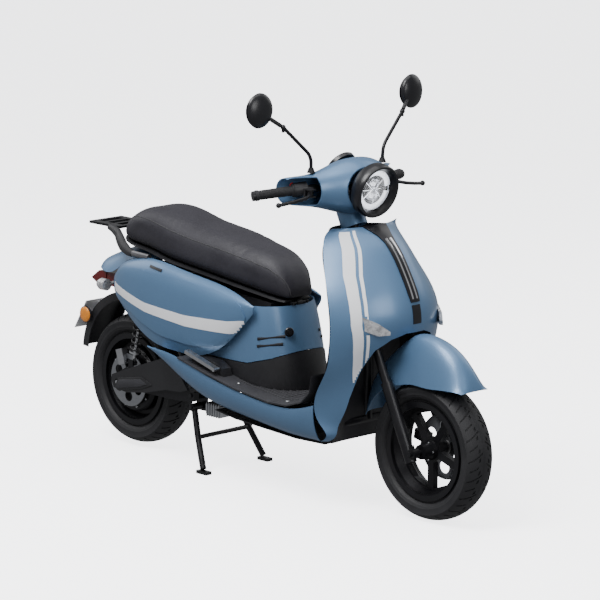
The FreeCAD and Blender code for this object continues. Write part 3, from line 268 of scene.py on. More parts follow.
view = {"target": (0.120, 0, 0.641), "azimuth": 46.6, "height": 11.2, "distance": 11.474,
        "lens": 203.6}
side, lift = math.radians(view["azimuth"]), math.radians(view["height"])
back = Vector((math.sin(side) * math.cos(lift), -math.cos(side) * math.cos(lift), math.sin(lift)))
bpy.ops.object.camera_add(location=Vector(view["target"]) + back * view["distance"])
camera = bpy.context.object
camera.rotation_euler = back.to_track_quat("Z", "Y").to_euler()
camera.data.lens = view["lens"]
camera.data.sensor_width = 36
camera.data.clip_end = 60
scene.camera = camera

floorGlow = 3.2
floor = startPiece("plane", "studioFloor", size=60, location=(0, 0, -0.0005))
floor.visible_diffuse = False
floor.visible_glossy = False
lights = {"key": ((0.2, -2.8, 4.8), 2.4, 285), "front": ((4.6, -1.4, 2.6), 2.2, 75),
          "left": ((0.5, 4.5, 3.4), 3.5, 55), "back": ((-4.5, -1.0, 3.2), 3.0, 60),
          "top": ((0.2, 0.0, 5.0), 4.0, 110)}
for word, (spot, width, power) in lights.items():
    bpy.ops.object.light_add(type="AREA", location=spot)
    lamp = bpy.context.object
    lamp.name = word + "Light"
    lamp.data.size = width
    lamp.data.energy = power
    lamp.rotation_euler = (Vector(spot) - Vector((0, 0, 0.6))).to_track_quat("Z", "Y").to_euler()
world = bpy.data.worlds.new("studioAir")
world.use_nodes = True
world.node_tree.nodes["Background"].inputs[0].default_value = (0.95, 0.96, 0.98, 1)
world.node_tree.nodes["Background"].inputs[1].default_value = 0.36
scene.world = world
print("camera and lights placed")

# ---- effects shared by the materials


def newGroup(name, inputs, outputs):
    group = bpy.data.node_groups.new(name, "ShaderNodeTree")
    for word, kind, value in inputs:
        socket = group.interface.new_socket(name=word, in_out="INPUT", socket_type=kind)
        if value is not None:
            socket.default_value = value
    for word, kind in outputs:
        group.interface.new_socket(name=word, in_out="OUTPUT", socket_type=kind)
    return group, group.nodes.new("NodeGroupInput"), group.nodes.new("NodeGroupOutput")


def makeGrain():
    # fine moulded or sprayed texture: a height and a mask of its low spots
    group, given, result = newGroup("surfaceGrain", [
        ("Vector", "NodeSocketVector", None), ("Scale", "NodeSocketFloat", 800.0),
        ("Cells", "NodeSocketFloat", 0.5)], [("Height", "NodeSocketFloat"),
                                             ("Pits", "NodeSocketFloat")])
    noise = group.nodes.new("ShaderNodeTexNoise")
    cells = group.nodes.new("ShaderNodeTexVoronoi")
    mix = group.nodes.new("ShaderNodeMix")
    pits = group.nodes.new("ShaderNodeMapRange")
    noise.inputs["Detail"].default_value = 4
    link = group.links.new
    link(given.outputs["Vector"], noise.inputs["Vector"])
    link(given.outputs["Vector"], cells.inputs["Vector"])
    link(given.outputs["Scale"], noise.inputs["Scale"])
    link(given.outputs["Scale"], cells.inputs["Scale"])
    link(given.outputs["Cells"], mix.inputs[0])
    link(noise.outputs["Fac"], mix.inputs[2])
    link(cells.outputs["Distance"], mix.inputs[3])
    link(mix.outputs[0], pits.inputs["Value"])
    pits.inputs["From Min"].default_value = 0.35
    pits.inputs["From Max"].default_value = 0.7
    link(mix.outputs[0], result.inputs["Height"])
    link(pits.outputs["Result"], result.inputs["Pits"])
    return group


def makeHandling():
    # broad soft patches where a surface has been touched, wiped or dusted
    group, given, result = newGroup("handledPatches", [
        ("Vector", "NodeSocketVector", None), ("Scale", "NodeSocketFloat", 6.0),
        ("Contrast", "NodeSocketFloat", 0.5)], [("Mask", "NodeSocketFloat")])
    broad = group.nodes.new("ShaderNodeTexNoise")
    fine = group.nodes.new("ShaderNodeTexNoise")
    more = group.nodes.new("ShaderNodeMath")
    mix = group.nodes.new("ShaderNodeMix")
    ramp = group.nodes.new("ShaderNodeMapRange")
    more.operation = "MULTIPLY"
    more.inputs[1].default_value = 7.3
    broad.inputs["Detail"].default_value = 6
    broad.inputs["Distortion"].default_value = 0.6
    fine.inputs["Detail"].default_value = 8
    mix.inputs[0].default_value = 0.35
    link = group.links.new
    link(given.outputs["Vector"], broad.inputs["Vector"])
    link(given.outputs["Vector"], fine.inputs["Vector"])
    link(given.outputs["Scale"], broad.inputs["Scale"])
    link(given.outputs["Scale"], more.inputs[0])
    link(more.outputs[0], fine.inputs["Scale"])
    link(broad.outputs["Fac"], mix.inputs[2])
    link(fine.outputs["Fac"], mix.inputs[3])
    link(mix.outputs[0], ramp.inputs["Value"])
    ramp.inputs["From Min"].default_value = 0.36
    ramp.inputs["From Max"].default_value = 0.66
    link(given.outputs["Contrast"], ramp.inputs["To Max"])
    link(ramp.outputs["Result"], result.inputs["Mask"])
    return group


def makeSpeckle():
    # sparse bright or dark flecks, as in metallic paint or dusty rubber
    group, given, result = newGroup("flecks", [
        ("Vector", "NodeSocketVector", None), ("Scale", "NodeSocketFloat", 1500.0),
        ("Amount", "NodeSocketFloat", 0.3)], [("Mask", "NodeSocketFloat")])
    cells = group.nodes.new("ShaderNodeTexVoronoi")
    ramp = group.nodes.new("ShaderNodeMapRange")
    split = group.nodes.new("ShaderNodeSeparateColor")
    link = group.links.new
    link(given.outputs["Vector"], cells.inputs["Vector"])
    link(given.outputs["Scale"], cells.inputs["Scale"])
    link(cells.outputs["Color"], split.inputs[0])
    link(split.outputs[0], ramp.inputs["Value"])
    ramp.inputs["From Min"].default_value = 0.6
    link(given.outputs["Amount"], ramp.inputs["To Max"])
    link(ramp.outputs["Result"], result.inputs["Mask"])
    return group


grainGroup, handlingGroup, fleckGroup = makeGrain(), makeHandling(), makeSpeckle()

# ---- materials: colour, second colour, roughness range, metal, grain (scale, bump metres, cells),
# patch scale and contrast, flecks, coat

finishes = {
    "bluePaint": dict(colour=(0.098, 0.190, 0.330), other=(0.088, 0.174, 0.306), rough=(0.36, 0.44),
                      metal=0.35, grain=(900, 0.00003, 0.3), patch=(5, 0.6), fleck=(2600, 0.25),
                      coat=0.25),
    "whiteVinyl": dict(colour=(0.86, 0.87, 0.90), other=(0.80, 0.81, 0.85), rough=(0.32, 0.42),
                       metal=0, grain=(700, 0.00002, 0.3), patch=(12, 0.6)),
    "blackPlastic": dict(colour=(0.009, 0.009, 0.011), other=(0.015, 0.015, 0.018),
                         rough=(0.42, 0.60), metal=0, grain=(1100, 0.00012, 0.7), patch=(9, 0.8)),
    "darkTrim": dict(colour=(0.005, 0.005, 0.007), other=(0.009, 0.009, 0.012),
                     rough=(0.28, 0.40), metal=0, grain=(900, 0.00003, 0.4), patch=(14, 0.6)),
    "matRubber": dict(colour=(0.018, 0.018, 0.022), other=(0.030, 0.030, 0.036),
                      rough=(0.62, 0.80), metal=0, grain=(600, 0.0002, 0.6), patch=(11, 0.9)),
    "tyreRubber": dict(colour=(0.010, 0.010, 0.012), other=(0.020, 0.020, 0.023),
                       rough=(0.58, 0.78), metal=0, grain=(500, 0.00025, 0.4), patch=(14, 0.8)),
    "gripRubber": dict(colour=(0.008, 0.008, 0.010), other=(0.015, 0.015, 0.018),
                       rough=(0.6, 0.8), metal=0, grain=(900, 0.0002, 0.6), patch=(30, 0.7)),
    "blackMetal": dict(colour=(0.008, 0.008, 0.010), other=(0.014, 0.014, 0.017),
                       rough=(0.32, 0.46), metal=0.4, grain=(1300, 0.00006, 0.5), patch=(16, 0.7)),
    "framePaint": dict(colour=(0.006, 0.006, 0.008), other=(0.012, 0.012, 0.014),
                       rough=(0.28, 0.45), metal=0.2, grain=(900, 0.00008, 0.5), patch=(20, 0.8)),
    "castAluminium": dict(colour=(0.50, 0.51, 0.53), other=(0.36, 0.37, 0.39),
                          rough=(0.30, 0.50), metal=1, grain=(700, 0.0002, 0.6), patch=(30, 0.8)),
    "gunMetalAndRackHighlight": dict(colour=(0.20, 0.20, 0.21), other=(0.13, 0.13, 0.14),
                     rough=(0.28, 0.42), metal=0.9, grain=(1200, 0.00006, 0.5), patch=(20, 0.7)),
    "brightSteel": dict(colour=(0.62, 0.63, 0.65), other=(0.45, 0.46, 0.48),
                        rough=(0.22, 0.40), metal=1, grain=(1500, 0.00006, 0.3), patch=(25, 0.8)),
    "chromePlate": dict(colour=(0.80, 0.81, 0.83), other=(0.68, 0.69, 0.71),
                        rough=(0.06, 0.16), metal=1, grain=(600, 0.00001, 0.3), patch=(22, 0.7)),
    "seatVinyl": dict(colour=(0.013, 0.012, 0.018), other=(0.021, 0.020, 0.028),
                      rough=(0.48, 0.62), metal=0, grain=(420, 0.00035, 0.85), patch=(7, 0.8)),
    "seatThread": dict(colour=(0.045, 0.045, 0.05), other=(0.03, 0.03, 0.034),
                       rough=(0.6, 0.75), metal=0, grain=(1500, 0.0002, 0.3), patch=(40, 0.6)),
    "springPaint": dict(colour=(0.022, 0.022, 0.025), other=(0.04, 0.04, 0.043),
                        rough=(0.30, 0.42), metal=0.3, grain=(900, 0.00006, 0.4), patch=(30, 0.7)),
    "redPlastic": dict(colour=(0.55, 0.015, 0.012), other=(0.42, 0.012, 0.01),
                       rough=(0.3, 0.42), metal=0, grain=(900, 0.00004, 0.4), patch=(60, 0.6)),
    "amberLens": dict(colour=(0.78, 0.26, 0.012), other=(0.55, 0.15, 0.01), rough=(0.12, 0.22),
                      metal=0, grain=(260, 0.0006, 1.0), patch=(40, 0.6), coat=0.6),
    "redLens": dict(colour=(0.12, 0.001, 0.002), other=(0.05, 0.001, 0.001), rough=(0.26, 0.38),
                    metal=0, grain=(160, 0.0004, 1.0), patch=(30, 0.8), coat=0.3),
    "plateWhite": dict(colour=(0.80, 0.81, 0.83), other=(0.72, 0.73, 0.75), rough=(0.35, 0.5),
                       metal=0, grain=(900, 0.00004, 0.4), patch=(12, 0.7)),
    "mirrorGlass": dict(colour=(0.78, 0.82, 0.84), other=(0.70, 0.74, 0.77), rough=(0.02, 0.06),
                        metal=1, grain=(300, 0.000002, 0.2), patch=(10, 0.6)),
    "displayGlass": dict(colour=(0.008, 0.010, 0.014), other=(0.014, 0.018, 0.024),
                         rough=(0.06, 0.14), metal=0, grain=(300, 0.000004, 0.2), patch=(12, 0.6),
                         coat=0.6),
}


def makeMaterial(name, colour, other, rough, metal, grain, patch, fleck=None, coat=0):
    material = bpy.data.materials.new(name)
    material.use_nodes = True
    nodes, link = material.node_tree.nodes, material.node_tree.links.new
    shader = nodes["Principled BSDF"]
    shader.inputs["Metallic"].default_value = metal
    shader.inputs["Coat Weight"].default_value = coat
    shader.inputs["Coat Roughness"].default_value = 0.18
    place = nodes.new("ShaderNodeTexCoord")
    patches = nodes.new("ShaderNodeGroup")
    patches.node_tree = handlingGroup
    patches.inputs["Scale"].default_value = patch[0]
    patches.inputs["Contrast"].default_value = patch[1]
    link(place.outputs["Object"], patches.inputs["Vector"])
    tint = nodes.new("ShaderNodeMix")
    tint.data_type = "RGBA"
    tint.inputs[6].default_value = (*colour, 1)
    tint.inputs[7].default_value = (*other, 1)
    link(patches.outputs["Mask"], tint.inputs[0])
    last = tint.outputs[2]
    if fleck:
        flecks = nodes.new("ShaderNodeGroup")
        flecks.node_tree = fleckGroup
        flecks.inputs["Scale"].default_value = fleck[0]
        flecks.inputs["Amount"].default_value = fleck[1]
        link(place.outputs["Object"], flecks.inputs["Vector"])
        bright = nodes.new("ShaderNodeMix")
        bright.data_type = "RGBA"
        bright.inputs[7].default_value = (*[min(1, 1.35 * part + 0.02) for part in colour], 1)
        link(flecks.outputs["Mask"], bright.inputs[0])
        link(last, bright.inputs[6])
        last = bright.outputs[2]
    link(last, shader.inputs["Base Color"])
    gloss = nodes.new("ShaderNodeMapRange")
    gloss.inputs["To Min"].default_value = rough[0]
    gloss.inputs["To Max"].default_value = rough[1]
    link(patches.outputs["Mask"], gloss.inputs["Value"])
    link(gloss.outputs["Result"], shader.inputs["Roughness"])
    texture = nodes.new("ShaderNodeGroup")
    texture.node_tree = grainGroup
    texture.inputs["Scale"].default_value = grain[0]
    texture.inputs["Cells"].default_value = grain[2]
    link(place.outputs["Object"], texture.inputs["Vector"])
    bump = nodes.new("ShaderNodeBump")
    bump.inputs["Strength"].default_value = 0.8
    bump.inputs["Distance"].default_value = grain[1]
    link(texture.outputs["Height"], bump.inputs["Height"])
    link(bump.outputs["Normal"], shader.inputs["Normal"])
    return material


stuff = {name: makeMaterial(name, **values) for name, values in finishes.items()}


def makeClear(name, tint, rough):
    material = makeMaterial(name, tint, tuple(0.9 * part for part in tint), (rough, rough + 0.05),
                            0, (500, 0.00001, 0.5), (20, 0.5))
    shader = material.node_tree.nodes["Principled BSDF"]
    shader.inputs["Transmission Weight"].default_value = 1
    shader.inputs["IOR"].default_value = 1.46
    return material


def makeGlow(name, colour, strength):
    material = makeMaterial(name, colour, tuple(0.92 * part for part in colour), (0.3, 0.4), 0,
                            (400, 0.0002, 1.0), (60, 0.6))
    shader = material.node_tree.nodes["Principled BSDF"]
    shader.inputs["Emission Color"].default_value = (*colour, 1)
    shader.inputs["Emission Strength"].default_value = strength
    return material


stuff["clearGlass"] = makeClear("clearGlass", (0.97, 0.98, 1.0), 0.02)
stuff["ledWhite"] = makeGlow("ledWhite", (0.93, 0.95, 1.0), 0.9)


def makeDiscSteel():
    # ground steel with a fine noise bump in place of the grain
    material = makeMaterial("discSteel", (0.36, 0.37, 0.39), (0.26, 0.27, 0.29), (0.28, 0.42), 1,
                            (900, 0.00004, 0.3), (26, 0.7))
    nodes, link = material.node_tree.nodes, material.node_tree.links.new
    wave = nodes.new("ShaderNodeTexNoise")
    wave.inputs["Scale"].default_value = 2600
    bump = nodes["Bump"]
    place = nodes["Texture Coordinate"]
    link(place.outputs["Object"], wave.inputs["Vector"])
    link(wave.outputs["Fac"], bump.inputs["Height"])
    return material


stuff["discSteel"] = makeDiscSteel()


def makeLensPaintedStreaks():
    # clear lens over bright facets: streaks of painted chrome reflection and painted shadow
    # the base colour mixes light grey and dark grey in streaks: painted reflection and painted shadow
    material = makeMaterial("signalLens", (0.75, 0.76, 0.78), (0.30, 0.30, 0.32), (0.06, 0.16),
                            0.55, (130, 0.002, 1.0), (45, 1.0))
    shader = material.node_tree.nodes["Principled BSDF"]
    shader.inputs["Coat Weight"].default_value = 1
    shader.inputs["Coat Roughness"].default_value = 0.04
    return material


stuff["signalLens"] = makeLensPaintedStreaks()


def makeFloor():
    material = bpy.data.materials.new("studioPaper")
    material.use_nodes = True
    shader = material.node_tree.nodes["Principled BSDF"]
    shader.inputs["Base Color"].default_value = (0.93, 0.93, 0.94, 1)
    shader.inputs["Roughness"].default_value = 0.9
    shader.inputs["Emission Color"].default_value = (0.97, 0.975, 1, 1)
    shader.inputs["Emission Strength"].default_value = floorGlow
    return material


paint(floor, makeFloor())

# ---- the CAD nodes that stay, each with its finish

nodeFinishes = {
    "bluePaint": ["front_apron", "side_skirts", "seat_post_cowl", "side_covers", "tail_cowl",
                  "front_fender", "handlebar_cowl"],
    "blackPlastic": ["inner_leg_shield", "belly_pan", "seat_post_base", "rear_fender",
                     "storage_tub", "seat_base", "bar_controls", "swingarm_cover",
                     "horn_button", "signal_switch"],
    "matRubber": ["floor_board"],
    "blackMetal": ["luggage_rack", "fork_yoke", "handlebar", "mirror_stems", "fork_sliders",
                   "front_rim", "rear_rim", "swingarm", "brake_lever_left", "brake_lever_right",
                   "shock_bodies"],
    "framePaint": ["main_frame", "rear_subframe", "centre_stand", "pivot_bolts"],
    "castAluminium": ["battery_pack", "motor_controller", "rear_caliper", "footpeg_left",
                      "footpeg_right"],
    "gunMetalAndRackHighlight": ["front_caliper"],
    "brightSteel": ["steering_bearings", "motor_stator", "shock_rods"],
    "discSteel": ["front_disc", "rear_disc"],
    "chromePlate": ["seat_lock", "ignition_lock"],
    "springPaint": ["shock_springs"],
    "redPlastic": ["kill_switch"],
    "redLens": ["tail_light"],
    "signalLens": ["signal_lamps"],
    "plateWhite": ["number_plate"],
    "darkTrim": ["mirror_left", "mirror_right", "headlight_bezel", "headlight_unit"],
    "tyreRubber": ["front_tyre", "rear_tyre"],
    "gripRubber": ["left_grip", "throttle_grip"],
    "seatVinyl": ["seat_cushion"],
}
for word, names in nodeFinishes.items():
    for node in names:
        paint(cadNodes[node], stuff[word])
print("finishes on the CAD nodes")

# ---- the saddle: a padded cover over the CAD cushion, with its sewn seams

saddle = {"voxel": 0.006, "pressure": 4, "cap": 0.005, "shrink": 0.0035, "seamRadius": 0.0016}


def makeSaddle():
    cover = copied(cadNodes["seat_cushion"], "saddleCover", Matrix())
    cover.parent = None
    for word in list(cover.keys()):
        del cover[word]
    edit(cover)
    bpy.ops.mesh.remove_doubles(threshold=0.0001)
    bpy.ops.mesh.normals_make_consistent(inside=False)
    stopEditing()
    modify(cover, "REMESH", mode="VOXEL", voxel_size=saddle["voxel"])
    edit(cover)
    bpy.ops.transform.shrink_fatten(value=-saddle["shrink"])
    stopEditing()
    start = [vertex.co.copy() for vertex in cover.data.vertices]
    cloth = cover.modifiers.new("Cloth", "CLOTH")
    cloth.settings.use_pressure = True
    cloth.settings.uniform_pressure_force = saddle["pressure"]
    cloth.settings.effector_weights.gravity = 0
    cloth.settings.quality = 4
    for number in range(1, 21):
        scene.frame_set(number)
    makeActive(cover)
    bpy.ops.object.modifier_apply(modifier="Cloth")
    scene.frame_set(1)
    for vertex, home in zip(cover.data.vertices, start):
        move = vertex.co - home
        if move.length > saddle["cap"]:
            move *= saddle["cap"] / move.length
        vertex.co = home + move
    modify(cover, "SMOOTH", factor=0.5, iterations=3)
    modify(cover, "SUBSURF", levels=1, render_levels=1)
    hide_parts("seat_cushion")
    return finish(cover, "seat", stuff["seatVinyl"], 60)


saddleCover = makeSaddle()


def seam(name, places, target, radius=None, order=3):
    # a sewn line pressed onto the cover: each place is moved to the nearest point of it
    work = bmesh.new()
    work.from_mesh(target.data)
    tree = BVHTree.FromBMesh(work)
    fine = []
    for first, second in zip(places, places[1:]):
        for step in range(6):
            fine.append(Vector(first).lerp(Vector(second), step / 6))
    fine.append(Vector(places[-1]))
    spots = [tree.find_nearest(spot)[0] for spot in fine]
    work.free()
    line = tubeAlong(name, spots, radius or saddle["seamRadius"], order)
    return finish(line, "seat", stuff["seatThread"], 60)


for word, way in (("Right", -1), ("Left", 1)):
    seam("saddleSeam" + word, [(-0.690, way * 0.070, 0.84), (-0.60, way * 0.108, 0.855),
                               (-0.52, way * 0.120, 0.852), (-0.42, way * 0.124, 0.832),
                               (-0.30, way * 0.122, 0.812), (-0.168, way * 0.116, 0.795),
                               (-0.04, way * 0.100, 0.772), (0.05, way * 0.078, 0.748),
                               (0.10, way * 0.058, 0.715)], saddleCover)
    seam("saddleFrontSeam" + word, [(0.100, way * 0.058, 0.715), (0.117, way * 0.050, 0.69),
                                    (0.125, way * 0.045, 0.66)], saddleCover)
print("saddle sewn")

# ---- tyres with cut treads

tyreShape = {"outer": 0.234, "bead": 0.1665, "half": 0.057, "steps": 240, "lean": 0.16,
             "cut": 0.0035, "pitch": 12}


def makeTyre(name, body, node, centre):
    half, outer, bead = tyreShape["half"], tyreShape["outer"], tyreShape["bead"]
    crown = []
    for step in range(-9, 10):
        angle = step / 9 * 1.16
        crown.append((outer - half * 0.62 * (1 - math.cos(angle)) * 1.15,
                      half * 1.06 * math.sin(angle) / math.sin(1.16) * 0.985))
    wall = [(outer - 0.036, half * 0.995), (outer - 0.045, half * 0.99), (outer - 0.0465, half * 0.965),
            (outer - 0.052, half * 0.955), (outer - 0.0535, half * 0.93), (bead + 0.006, half * 0.80),
            (bead + 0.004, half * 0.74), (bead, half * 0.73)]
    profile = [(radius, along) for radius, along in crown]
    profile += [(radius, along) for radius, along in wall]
    profile += [(bead + 0.001, half * 0.3), (bead + 0.001, -half * 0.3)]
    profile += [(radius, -along) for radius, along in reversed(wall)]
    ring = revolved(name, profile, (0, 0, 0), (0, 0, 1), tyreShape["steps"])
    pitch = 2 * math.pi / tyreShape["steps"]
    for vertex in ring.data.vertices:
        radius = math.hypot(vertex.co.x, vertex.co.y)
        if radius > outer - 0.034:
            share = abs(vertex.co.z) / half
            shift = tyreShape["lean"] * share * (1 if vertex.co.z > 0 else 0.9)
            angle = math.atan2(vertex.co.y, vertex.co.x) + shift
            if vertex.co.z < 0:
                angle += 6 * pitch
            vertex.co.x, vertex.co.y = radius * math.cos(angle), radius * math.sin(angle)

    def column(face):
        spot = face.calc_center_median()
        share = abs(spot.z) / half
        angle = math.atan2(spot.y, spot.x) - tyreShape["lean"] * share * (1 if spot.z > 0 else 0.9)
        if spot.z < 0:
            angle -= 6 * pitch
        return int(math.floor((angle % (2 * math.pi)) / pitch + 0.5)), share, math.hypot(spot.x, spot.y)

    def groove(face):
        number, share, radius = column(face)
        if radius < outer - 0.030:
            return False
        turn = number % tyreShape["pitch"]
        if turn == 0:
            return 0.10 < share < 0.99
        if turn == 6:
            return 0.42 < share < 0.90
        band = abs(share - (0.30 + 0.16 * (1 - abs(turn - 6) / 6))) < 0.045
        return band and turn not in (1, 11)

    edit(ring, "FACE", groove)
    bpy.ops.mesh.extrude_region_shrink_fatten(
        TRANSFORM_OT_shrink_fatten={"value": -tyreShape["cut"]})
    stopEditing()
    placed(ring, centre, (0, 1, 0))
    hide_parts(node)
    return finish(ring, body, stuff["tyreRubber"], 40)


frontAxle, rearAxle = Vector((0.753, 0, 0.234)), Vector((-0.697, 0, 0.243))
makeTyre("frontTyreTread", "front_wheel", "front_tyre", frontAxle)
makeTyre("rearTyreTread", "rear_wheel", "rear_tyre", rearAxle)
print("tyres cut")

# ---- wheel trim: lips, bolts and valves


def boltRing(name, body, material, centre, way, radius, number, size=0.006, height=0.005,
             start=0.0):
    heads = []
    for step in range(number):
        angle = start + 2 * math.pi * step / number
        spot = Vector(centre) + Vector((math.cos(angle) * radius, 0, math.sin(angle) * radius))
        heads.append(screw("%s%d" % (name, step), spot, (0, way, 0), size, height))
    return finish(joined(name, heads), body, material)


def rimLip(name, body, axle, radius):
    lip = revolved(name, [(radius - 0.006, -0.043), (radius - 0.001, -0.0455), (radius + 0.003, -0.045),
                          (radius + 0.003, -0.0405), (radius - 0.001, -0.040),
                          (radius - 0.006, -0.0405)], axle, (0, 1, 0), 96)
    other = mirrored(lip, name + "Left")
    return finish(joined(name, [lip, other]), body, stuff["blackMetal"])


rimLip("frontRimLip", "front_wheel", frontAxle, 0.163)
rimLip("rearRimLip", "rear_wheel", rearAxle, 0.163)
for word, axle, body in (("front", frontAxle, "front_wheel"), ("rear", rearAxle, "rear_wheel")):
    stem = tubeAlong(word + "Valve", [axle + Vector((0.150, -0.018, 0.03)),
                                      axle + Vector((0.138, -0.026, 0.028)),
                                      axle + Vector((0.130, -0.034, 0.026))], 0.0032)
    finish(stem, body, stuff["gripRubber"])
boltRing("motorCoverBolts", "rear_wheel", stuff["brightSteel"],
         rearAxle + Vector((0, -0.0562, 0)), -1, 0.100, 10, 0.0042, 0.003)
boltRing("frontDiscBolts", "front_wheel", stuff["brightSteel"],
         frontAxle + Vector((0, -0.030, 0)), -1, 0.030, 5, 0.004, 0.003)
print("wheels trimmed")

# ---- ribbed grips

gripShape = {"radius": 0.0162, "ribs": 15, "turns": 20, "depth": 0.0011}


def makeGrip(name, node, body):
    low, high = [Vector(corner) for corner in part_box(node)]
    side = -1 if low.y < -0.1 else 1
    inner = Vector((0.315, side * 0.2145, 1.0635))
    outer = Vector((0.258, side * 0.3325, 1.0522))
    way = (outer - inner).normalized()
    length = (outer - inner).length
    radius, depth = gripShape["radius"], gripShape["depth"]
    profile = [(0.0112, 0), (0.0205, 0), (0.0212, 0.0018), (0.0205, 0.0042), (radius, 0.0055),
               (radius, 0.009)]
    reach = length - 0.024
    for step in range(gripShape["ribs"]):
        start = 0.009 + reach * step / gripShape["ribs"]
        pitch = reach / gripShape["ribs"]
        profile += [(radius, start), (radius, start + pitch * 0.62), (radius - depth, start + pitch * 0.68),
                    (radius - depth, start + pitch * 0.94)]
    profile += [(radius, length - 0.013), (0.0178, length - 0.011), (0.0182, length - 0.002),
                (0.0165, length), (0.0112, length)]
    grip = revolved(name, profile, (0, 0, 0), (0, 0, 1), gripShape["turns"] * 3)

    def valley(face):
        spot = face.calc_center_median()
        turn = int((math.atan2(spot.y, spot.x) / (2 * math.pi) + 1) * gripShape["turns"] * 3 + 0.01)
        return (turn % 3 == 0 and 0.011 < spot.z < length - 0.016
                and math.hypot(spot.x, spot.y) > radius - 0.0006)

    edit(grip, "FACE", valley)
    bpy.ops.mesh.extrude_region_shrink_fatten(TRANSFORM_OT_shrink_fatten={"value": -depth * 0.8})
    stopEditing()
    placed(grip, inner, way)
    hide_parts(node)
    finish(grip, body, stuff["gripRubber"], 30)
    weight = revolved(name + "BarEnd", [(0, 0), (0.0148, 0), (0.0156, 0.001), (0.0156, 0.006),
                                        (0.0130, 0.0085), (0.006, 0.0085), (0.005, 0.006),
                                        (0, 0.006)], outer - way * 0.001, way, 40)
    finish(weight, "steering", stuff["blackMetal"])


makeGrip("leftGripRibs", "left_grip", "steering")
makeGrip("throttleGripRibs", "throttle_grip", "throttle")
print("grips ribbed")

# ---- headlight: thick bezel, bowl, ring of light, two projectors and a web of chrome

lampSpot = Vector((0.457, 0, 1.064))
lampWay = Vector((math.sin(math.radians(102)), 0, math.cos(math.radians(102))))
lampUp = Vector((0, 1, 0)).cross(-lampWay).normalized()


def onLamp(ahead, across=0, up=0):
    return lampSpot + lampWay * ahead + Vector((0, across, 0)) + lampUp * up


def ledRing(name, inner, outer, ahead, gap):
    steps = 60
    ring = startPiece("grid", name, x_subdivisions=4, y_subdivisions=steps, size=1)
    for vertex in ring.data.vertices:
        across, along = vertex.co.x + 0.5, vertex.co.y + 0.5
        angle = gap + (2 * math.pi - 2 * gap) * along
        radius = inner + (outer - inner) * across
        rise = 0.003 * math.sin(math.pi * across)
        vertex.co = (radius * math.cos(angle), radius * math.sin(angle), rise)
    modify(ring, "SOLIDIFY", thickness=0.004, offset=0)
    edit(ring)
    bpy.ops.mesh.normals_make_consistent(inside=False)
    stopEditing()
    base = Matrix((Vector((0, 1, 0)), lampUp, lampWay)).transposed().to_4x4()
    ring.matrix_world = Matrix.Translation(onLamp(ahead)) @ base
    settle(ring)
    return ring


def makeHeadlight():
    bezel = revolved("headlightBezelRing", [
        (0.066, 0.012), (0.070, 0.030), (0.080, 0.043), (0.087, 0.044), (0.0905, 0.038),
        (0.0915, 0.026), (0.0905, 0.004), (0.084, -0.006), (0.078, -0.006), (0.066, 0.004)],
        lampSpot, lampWay, 96)
    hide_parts("headlight_bezel", "headlight_unit")
    finish(bezel, "steering", stuff["darkTrim"], 40)
    bowl = revolved("headlightBowl", [
        (0, -0.010), (0.030, -0.008), (0.052, 0.000), (0.066, 0.012), (0.070, 0.012),
        (0.070, 0.004), (0.054, -0.014), (0, -0.018)], lampSpot, lampWay, 72)
    finish(bowl, "steering", stuff["darkTrim"], 40)
    trim = revolved("headlightInnerTrim", [
        (0.0655, 0.014), (0.0675, 0.019), (0.0690, 0.019), (0.0700, 0.014)], lampSpot, lampWay, 96)
    finish(trim, "steering", stuff["chromePlate"])
    lightRing = ledRing("headlightGlowRing", 0.050, 0.064, 0.014, 0.16)
    finish(lightRing, "steering", stuff["ledWhite"])
    for word, up, radius in (("Upper", 0.019, 0.017), ("Lower", -0.020, 0.021)):
        cup = revolved("projectorCup" + word, [
            (radius * 0.98, -0.008), (radius * 1.22, 0.010), (radius * 1.30, 0.013), (radius * 1.34, 0.010),
            (radius * 1.12, -0.010)], onLamp(0, 0, up), lampWay, 48)
        finish(cup, "steering", stuff["chromePlate"])
        lens = revolved("projectorLens" + word, [
            (0, 0.016), (radius * 0.35, 0.0152), (radius * 0.65, 0.0125),
            (radius * 0.88, 0.008), (radius, 0.002),
            (radius, -0.004), (0, -0.005)], onLamp(0, 0, up), lampWay, 48)
        finish(lens, "steering", stuff["signalLens"], 50)
    bars = []
    for number, angle in enumerate((0, 38, 142, 180, 218, 322)):
        turn = math.radians(angle)
        reach = 0.049
        outerSpot = onLamp(0.010, math.cos(turn) * reach, math.sin(turn) * reach)
        innerSpot = onLamp(0.012, math.cos(turn) * 0.010, math.sin(turn) * 0.004)
        bars.append(tubeAlong("web%d" % number, [innerSpot, (innerSpot + outerSpot) / 2, outerSpot],
                              0.0024))
    finish(joined("headlightWeb", bars), "steering", stuff["chromePlate"])
    glass = revolved("headlightGlass", [
        (0, 0.034), (0.020, 0.0334), (0.040, 0.0312), (0.056, 0.0272), (0.068, 0.0215),
        (0.0682, 0.0195), (0.056, 0.0252), (0.040, 0.0292), (0.020, 0.0314), (0, 0.032)],
        lampSpot, lampWay, 72)
    finish(glass, "steering", stuff["clearGlass"], 60)


makeHeadlight()
print("headlight built")

# ---- front trim: spine strip, chrome lines, lower plate and vinyl stripes

apronTrim = {"rows": 56, "stripeLeft": [(0.940, -0.125), (0.920, -0.134), (0.880, -0.145),
                                        (0.80, -0.176), (0.74, -0.192), (0.695, -0.200),
                                        (0.647, -0.204), (0.56, -0.192), (0.454, -0.170),
                                        (0.36, -0.150)]}


def apronStrip(name, top, bottom, leftEdge, width, lift, thickness, material, columns=6):
    def place(u, v):
        z = bottom + (top - bottom) * v
        left = leftEdge(z) if callable(leftEdge) else leftEdge
        wide = width(z) if callable(width) else width
        return (0.86, left + wide * u, z)

    strip = wrapped(name, "front_apron", place, (-1, 0, 0), columns, apronTrim["rows"], lift, thickness)
    return finish(strip, "root", material, 50)


def stripeEdge(z):
    return smoothly(apronTrim["stripeLeft"], z)


